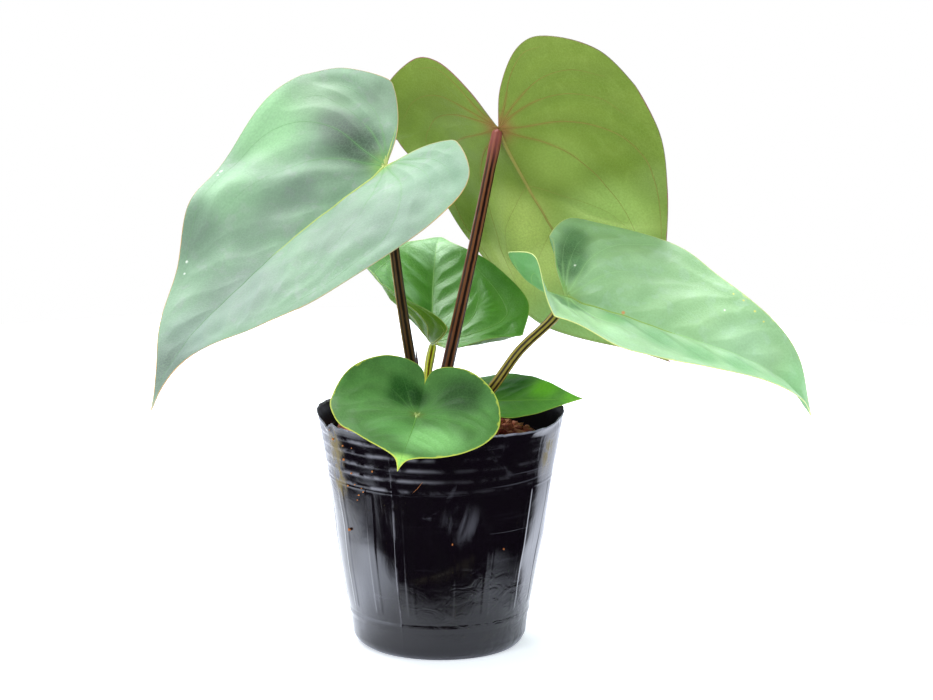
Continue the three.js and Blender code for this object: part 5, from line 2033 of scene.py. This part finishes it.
def front_low_leaf() -> Leaf:
    """The small leaf that hangs over the front of the rim.

    Returns:
        The leaf.
    """
    form = LeafForm(
        joint=(-10, -39, 111), heading=-97, pitch=-12, roll=-10, length=58,
        sinus=-0.03, widest=0.07, tip_fill=-0.07, side_fill=0.05,
        droop=-11, hook=22, lobe_bend=52, sweep=-2, tip_sweep=1, twist=-1,
        left=Half(36, 29.5, (13, 10, -2), (-9, -9, -9), (-1.5, -0.5, 0, 0, 0.5)),
        right=Half(37.5, 29.5, (15, 7, 2), (-6, -10, -8), (-0.5, 0, -1.5, 0, 0.5)),
        quilt=0.6, quilt_width=3.6, ripple=0.04, ripple_step=3.6, unevenness=0.22, throat=2.6, seed=14,
    )
    upper = LeafFinish(
        "small front leaf, upper", *shades((78, 124, 62), (44, 88, 34), (108, 172, 90),
        (76, 130, 54), (204, 214, 84), (110, 100, 40), (96, 152, 62)),
        yellowing=0.4, roughness=0.55, shine=0.14, rim=0.22,
        # Soft spots of painted shade in the fold by the sinus and at the right, and of painted light low on the
        # blade and at the tip.
        painted_light_and_dust_patches=(
            Fleck(-12, -4, 11, (8, 58, 4), 0.97), Fleck(-17, -10, 8, (28, 80, 24), 0.8),
            Fleck(-10, -10, 9, (22, 74, 16), 0.85), Fleck(-16, 16.5, 17, (36, 66, 34), 0.85),
            Fleck(24, 8.6, 20, (146, 212, 130), 0.8), Fleck(18, -10, 13, (100, 168, 84), 0.5),
            Fleck(51, 0.5, 9, (176, 236, 116), 0.85), Fleck(-15, 30, 8, (84, 130, 74), 0.5),
        ),
    )
    under = LeafFinish(
        "small front leaf, under", *shades((110, 146, 76), (84, 118, 52), (140, 170, 100),
        (150, 180, 90), (196, 206, 96), (150, 100, 50), (150, 176, 90)), roughness=0.5,
    )
    stalk = StalkFinish(
        "low olive stalk", *shades((124, 104, 50), (56, 38, 20), (150, 92, 40), (120, 100, 50))
    )
    path = ((0.2, -5.4, 95.6), (0.1, -6.3, 98.2), (-2.5, -14, 100.5), (-7, -29, 104.5))
    return Leaf(
        "front_low", form, upper, under, stalk, ("mid_leaf", "olive_stalk"), path, (1.9, 1.7), 170, 34,
        VeinStyle(0.34, 0.11, 0.08, 0.25, 0.4), VeinStyle(0.7, 0.4, 0.25, 0.9, 1.6),
    )


def right_low_leaf() -> Leaf:
    """The small bright leaf at the rim's right, mostly behind its neighbours.

    Returns:
        The leaf.
    """
    form = LeafForm(
        joint=(15, 21, 103.5), heading=-23, pitch=7, roll=4, length=52,
        sinus=0.12, widest=0.08, tip_fill=0.03, side_fill=0.02,
        droop=1, hook=1, lobe_bend=20, sweep=1, tip_sweep=1, twist=12,
        left=Half(25.5, 12, (12, 21, 15), (-9, -16, -2), (0.5, -0.5, -1, -0.5, 0.5)),
        right=Half(24, 6, (10, 3, -12), (-10, -2, -5), (-1.5, -1, 0.5, 1.5, 0)),
        quilt=0.5, quilt_width=3.0, ripple=0.04, ripple_step=3.4, unevenness=0.2, throat=2.2, seed=17,
    )
    upper = LeafFinish(
        "small right leaf, upper", *shades((80, 134, 56), (54, 104, 30), (112, 172, 76),
        (130, 178, 80), (170, 200, 84), (120, 140, 60), (130, 180, 76)),
        roughness=0.55, shine=0.08, rim=0.22,
        # Soft spots of painted light and painted shade.
        painted_light_and_dust_patches=(
            Fleck(32, 9, 11, (110, 188, 44), 0.85), Fleck(15, 13, 12, (30, 92, 2), 0.95),
            Fleck(48, 1.3, 8, (120, 196, 56), 0.6),
        ),
    )
    under = LeafFinish(
        "small right leaf, under", *shades((112, 146, 70), (88, 120, 50), (140, 172, 94),
        (150, 180, 90), (160, 180, 90), (130, 130, 60), (150, 176, 90)), roughness=0.5,
    )
    stalk = StalkFinish(
        "low yellow stalk", *shades((122, 128, 50), (78, 66, 28), (130, 150, 60), (140, 150, 60))
    )
    path = ((6, 3.8, 95.6), (6.5, 5, 98.2), (8.4, 10, 99.6), (11.7, 16.2, 98.8))
    return Leaf(
        "right_low", form, upper, under, stalk, ("mid_leaf", "yellow_stalk"), path, (1.8, 1.6), 150, 28,
        VeinStyle(0.34, 0.14, 0.1, 0.4, 0.5), VeinStyle(0.6, 0.36, 0.22, 0.9, 1.6),
    )


# Floor, light and camera


@dataclass(frozen=True)
class Lamp:
    """A soft square lamp, aimed at the plant."""

    name: str
    place: Place
    size: float
    power: float


@dataclass
class Studio:
    """A plain pale floor, a room that is bright behind the plant and dim in front, lamps, and the camera."""

    aim: Place = (0.0114, 0.0, 0.1315)
    elevation: float = 12.0
    distance: float = 1.6
    lens: float = 140.3
    near_floor: float = 0.3
    far_floor: float = 0.75
    floor_front: tuple[float, float] = (0.055, 0.090)
    floor_sides: tuple[float, float] = (-0.175, 0.085)
    side_glow: tuple[float, float] = (1.9, 0.8)
    floor_glow: float = 0.52
    room_back: float = 2.5
    room_fill: float = 0.88
    low_glow: float = 1.45
    behind: float = 0.5
    lamps: tuple[Lamp, ...] = (
        Lamp("overhead", (-0.25, 0.45, 1.15), 1.1, 22.0),
        Lamp("front left", (-0.9, -1.2, 0.9), 0.6, 7.0),
    )

    FADE = 0.03
    FLOOR_SIDES = 96

    def floor_finish(self) -> Material:
        """The floor's material. For the pot's shine it is brighter beside the pot, and ends a little way off.

        Returns:
            The material.
        """
        b = Bench("pale floor")
        full, none = self.floor_front
        left, right = self.floor_sides
        shine = b.node("ShaderNodeLightPath", {}).outputs["Is Glossy Ray"]
        x, y, _ = b.axes(b.place())
        ends = b.step(y, -none, -full, 1.0, 0.0)
        ends = b.math("MAXIMUM", ends, b.step(x, left - self.FADE, left + self.FADE, 1.0, 0.0))
        ends = b.math("MAXIMUM", ends, b.step(x, right - self.FADE, right + self.FADE))
        glow_left = b.step(x, -0.095, -0.035, self.side_glow[0], 0.0)
        glow_right = b.step(x, 0.045, 0.10, 0.0, self.side_glow[1])
        beside = b.times(b.math("ADD", glow_left, glow_right), b.step(y, -0.015, 0.045, 1.0, 0.12))
        return b.done(
            Base_Color=(0.84, 0.87, 0.93),
            Roughness=0.9,
            Specular_IOR_Level=0.1,
            Emission_Color=b.blend(shine, (0.90, 0.945, 1.0), (0.74, 0.81, 1.0)),
            Emission_Strength=b.math("MULTIPLY_ADD", shine, beside, self.floor_glow),
            Alpha=b.math("SUBTRACT", 1.0, b.times(shine, ends)),
        )

    def floor(self) -> None:
        """A pale floor in two parts: a near disc, which shows in shine, and a ring, which doesn't."""
        finish = self.floor_finish()
        angle = circle(self.FLOOR_SIDES)
        spans = {"near_floor": (0.0, self.near_floor), "outer_floor": (self.near_floor, self.far_floor)}
        for name, radii in spans.items():
            rings = np.array(radii)[:, None] / MM
            points = np.stack([rings * np.cos(angle), rings * np.sin(angle), 0 * rings * angle], axis=-1)
            shell = Shell(points.reshape(-1, 3), lattice(2, self.FLOOR_SIDES, closed=True)).weld()
            part = new_object(name, shell.points, shell.faces, [finish])
            part.visible_glossy = name == "near_floor"

    def room(self) -> None:
        """White for the camera, an even fill, and for shine a room that is bright behind and dim in front."""
        world = bpy.data.worlds.new("room")
        world.use_nodes = True
        w = Wiring(world.node_tree)
        x, y, z = w.axes(w.node("ShaderNodeTexCoord", {}).outputs["Generated"])
        turned = w.math("MULTIPLY_ADD", w.step(x, -0.4, 0.4), -0.54, 0.12)
        bright = w.step(w.math("ADD", y, turned), -0.06, 0.12, 0.008, self.room_back)
        low = w.step(z, -0.05, 0.3, w.step(y, 0.25, 0.6, 0.0, self.low_glow), 1.0)
        bright = w.times(w.times(bright, low), w.step(y, 0.5, 0.95, 1.0, self.behind))
        shine, fill, white = (
            w.node("ShaderNodeBackground", {"Color": colour, "Strength": strength}).outputs[0]
            for colour, strength in (
                ((0.82, 0.87, 1.0), bright),
                ((0.98, 0.99, 1.0), self.room_fill),
                ((1.0, 1.0, 1.0), 1.0),
            )
        )
        path = w.node("ShaderNodeLightPath", {}).outputs
        lit = w.node("ShaderNodeMixShader", {0: path["Is Glossy Ray"], 1: fill, 2: shine}).outputs[0]
        seen = w.node("ShaderNodeMixShader", {0: path["Is Camera Ray"], 1: lit, 2: white}).outputs[0]
        w.node("ShaderNodeOutputWorld", {"Surface": seen})
        bpy.context.scene.world = world

    def aimed(self, name: str, data: bpy.types.ID, place: Vector) -> bpy.types.Object:
        """Puts a lamp or the camera into the scene, aimed at the plant.

        Args:
            name: Its name.
            data: The lamp or the camera.
            place: Where it stands.

        Returns:
            The object.
        """
        made = bpy.data.objects.new(name, data)
        made.location = place
        made.rotation_euler = (Vector(self.aim) - place).to_track_quat("-Z", "Y").to_euler()
        bpy.context.scene.collection.objects.link(made)
        return made

    def light(self) -> None:
        """Soft square lamps."""
        for lamp in self.lamps:
            data = bpy.data.lights.new(lamp.name, "AREA")
            data.shape = "SQUARE"
            data.size = lamp.size
            data.energy = lamp.power
            self.aimed(lamp.name, data, Vector(lamp.place))

    def camera(self) -> None:
        """A long-lens camera, a little above level, straight in front of the plant."""
        data = bpy.data.cameras.new("camera")
        data.lens, data.sensor_width = self.lens, 36.0
        data.clip_end = 20.0
        lift = math.radians(self.elevation)
        away = Vector((0.0, -math.cos(lift), math.sin(lift))) * self.distance
        bpy.context.scene.camera = self.aimed("camera", data, Vector(self.aim) + away)

    def build(self) -> None:
        """Sets floor, room, lamps, camera and display."""
        self.floor()
        self.room()
        self.light()
        self.camera()
        display = bpy.context.scene.view_settings
        display.view_transform = "Standard"
        display.look = "None"


def main() -> None:
    """Builds the pot, the mix, the crown and its sheath, the six leaves, and the studio around them."""
    logging.basicConfig(level=logging.INFO, format="%(name)s: %(message)s")
    pot = Pot()
    pot.build()
    PottingMix(pot).build()
    Crown().build()
    Sheath().build()
    for leaf in (front_left_leaf, back_right_leaf, right_leaf, back_leaf, front_low_leaf, right_low_leaf):
        leaf().build()
    Studio().build()


if __name__ == "__main__":
    main()
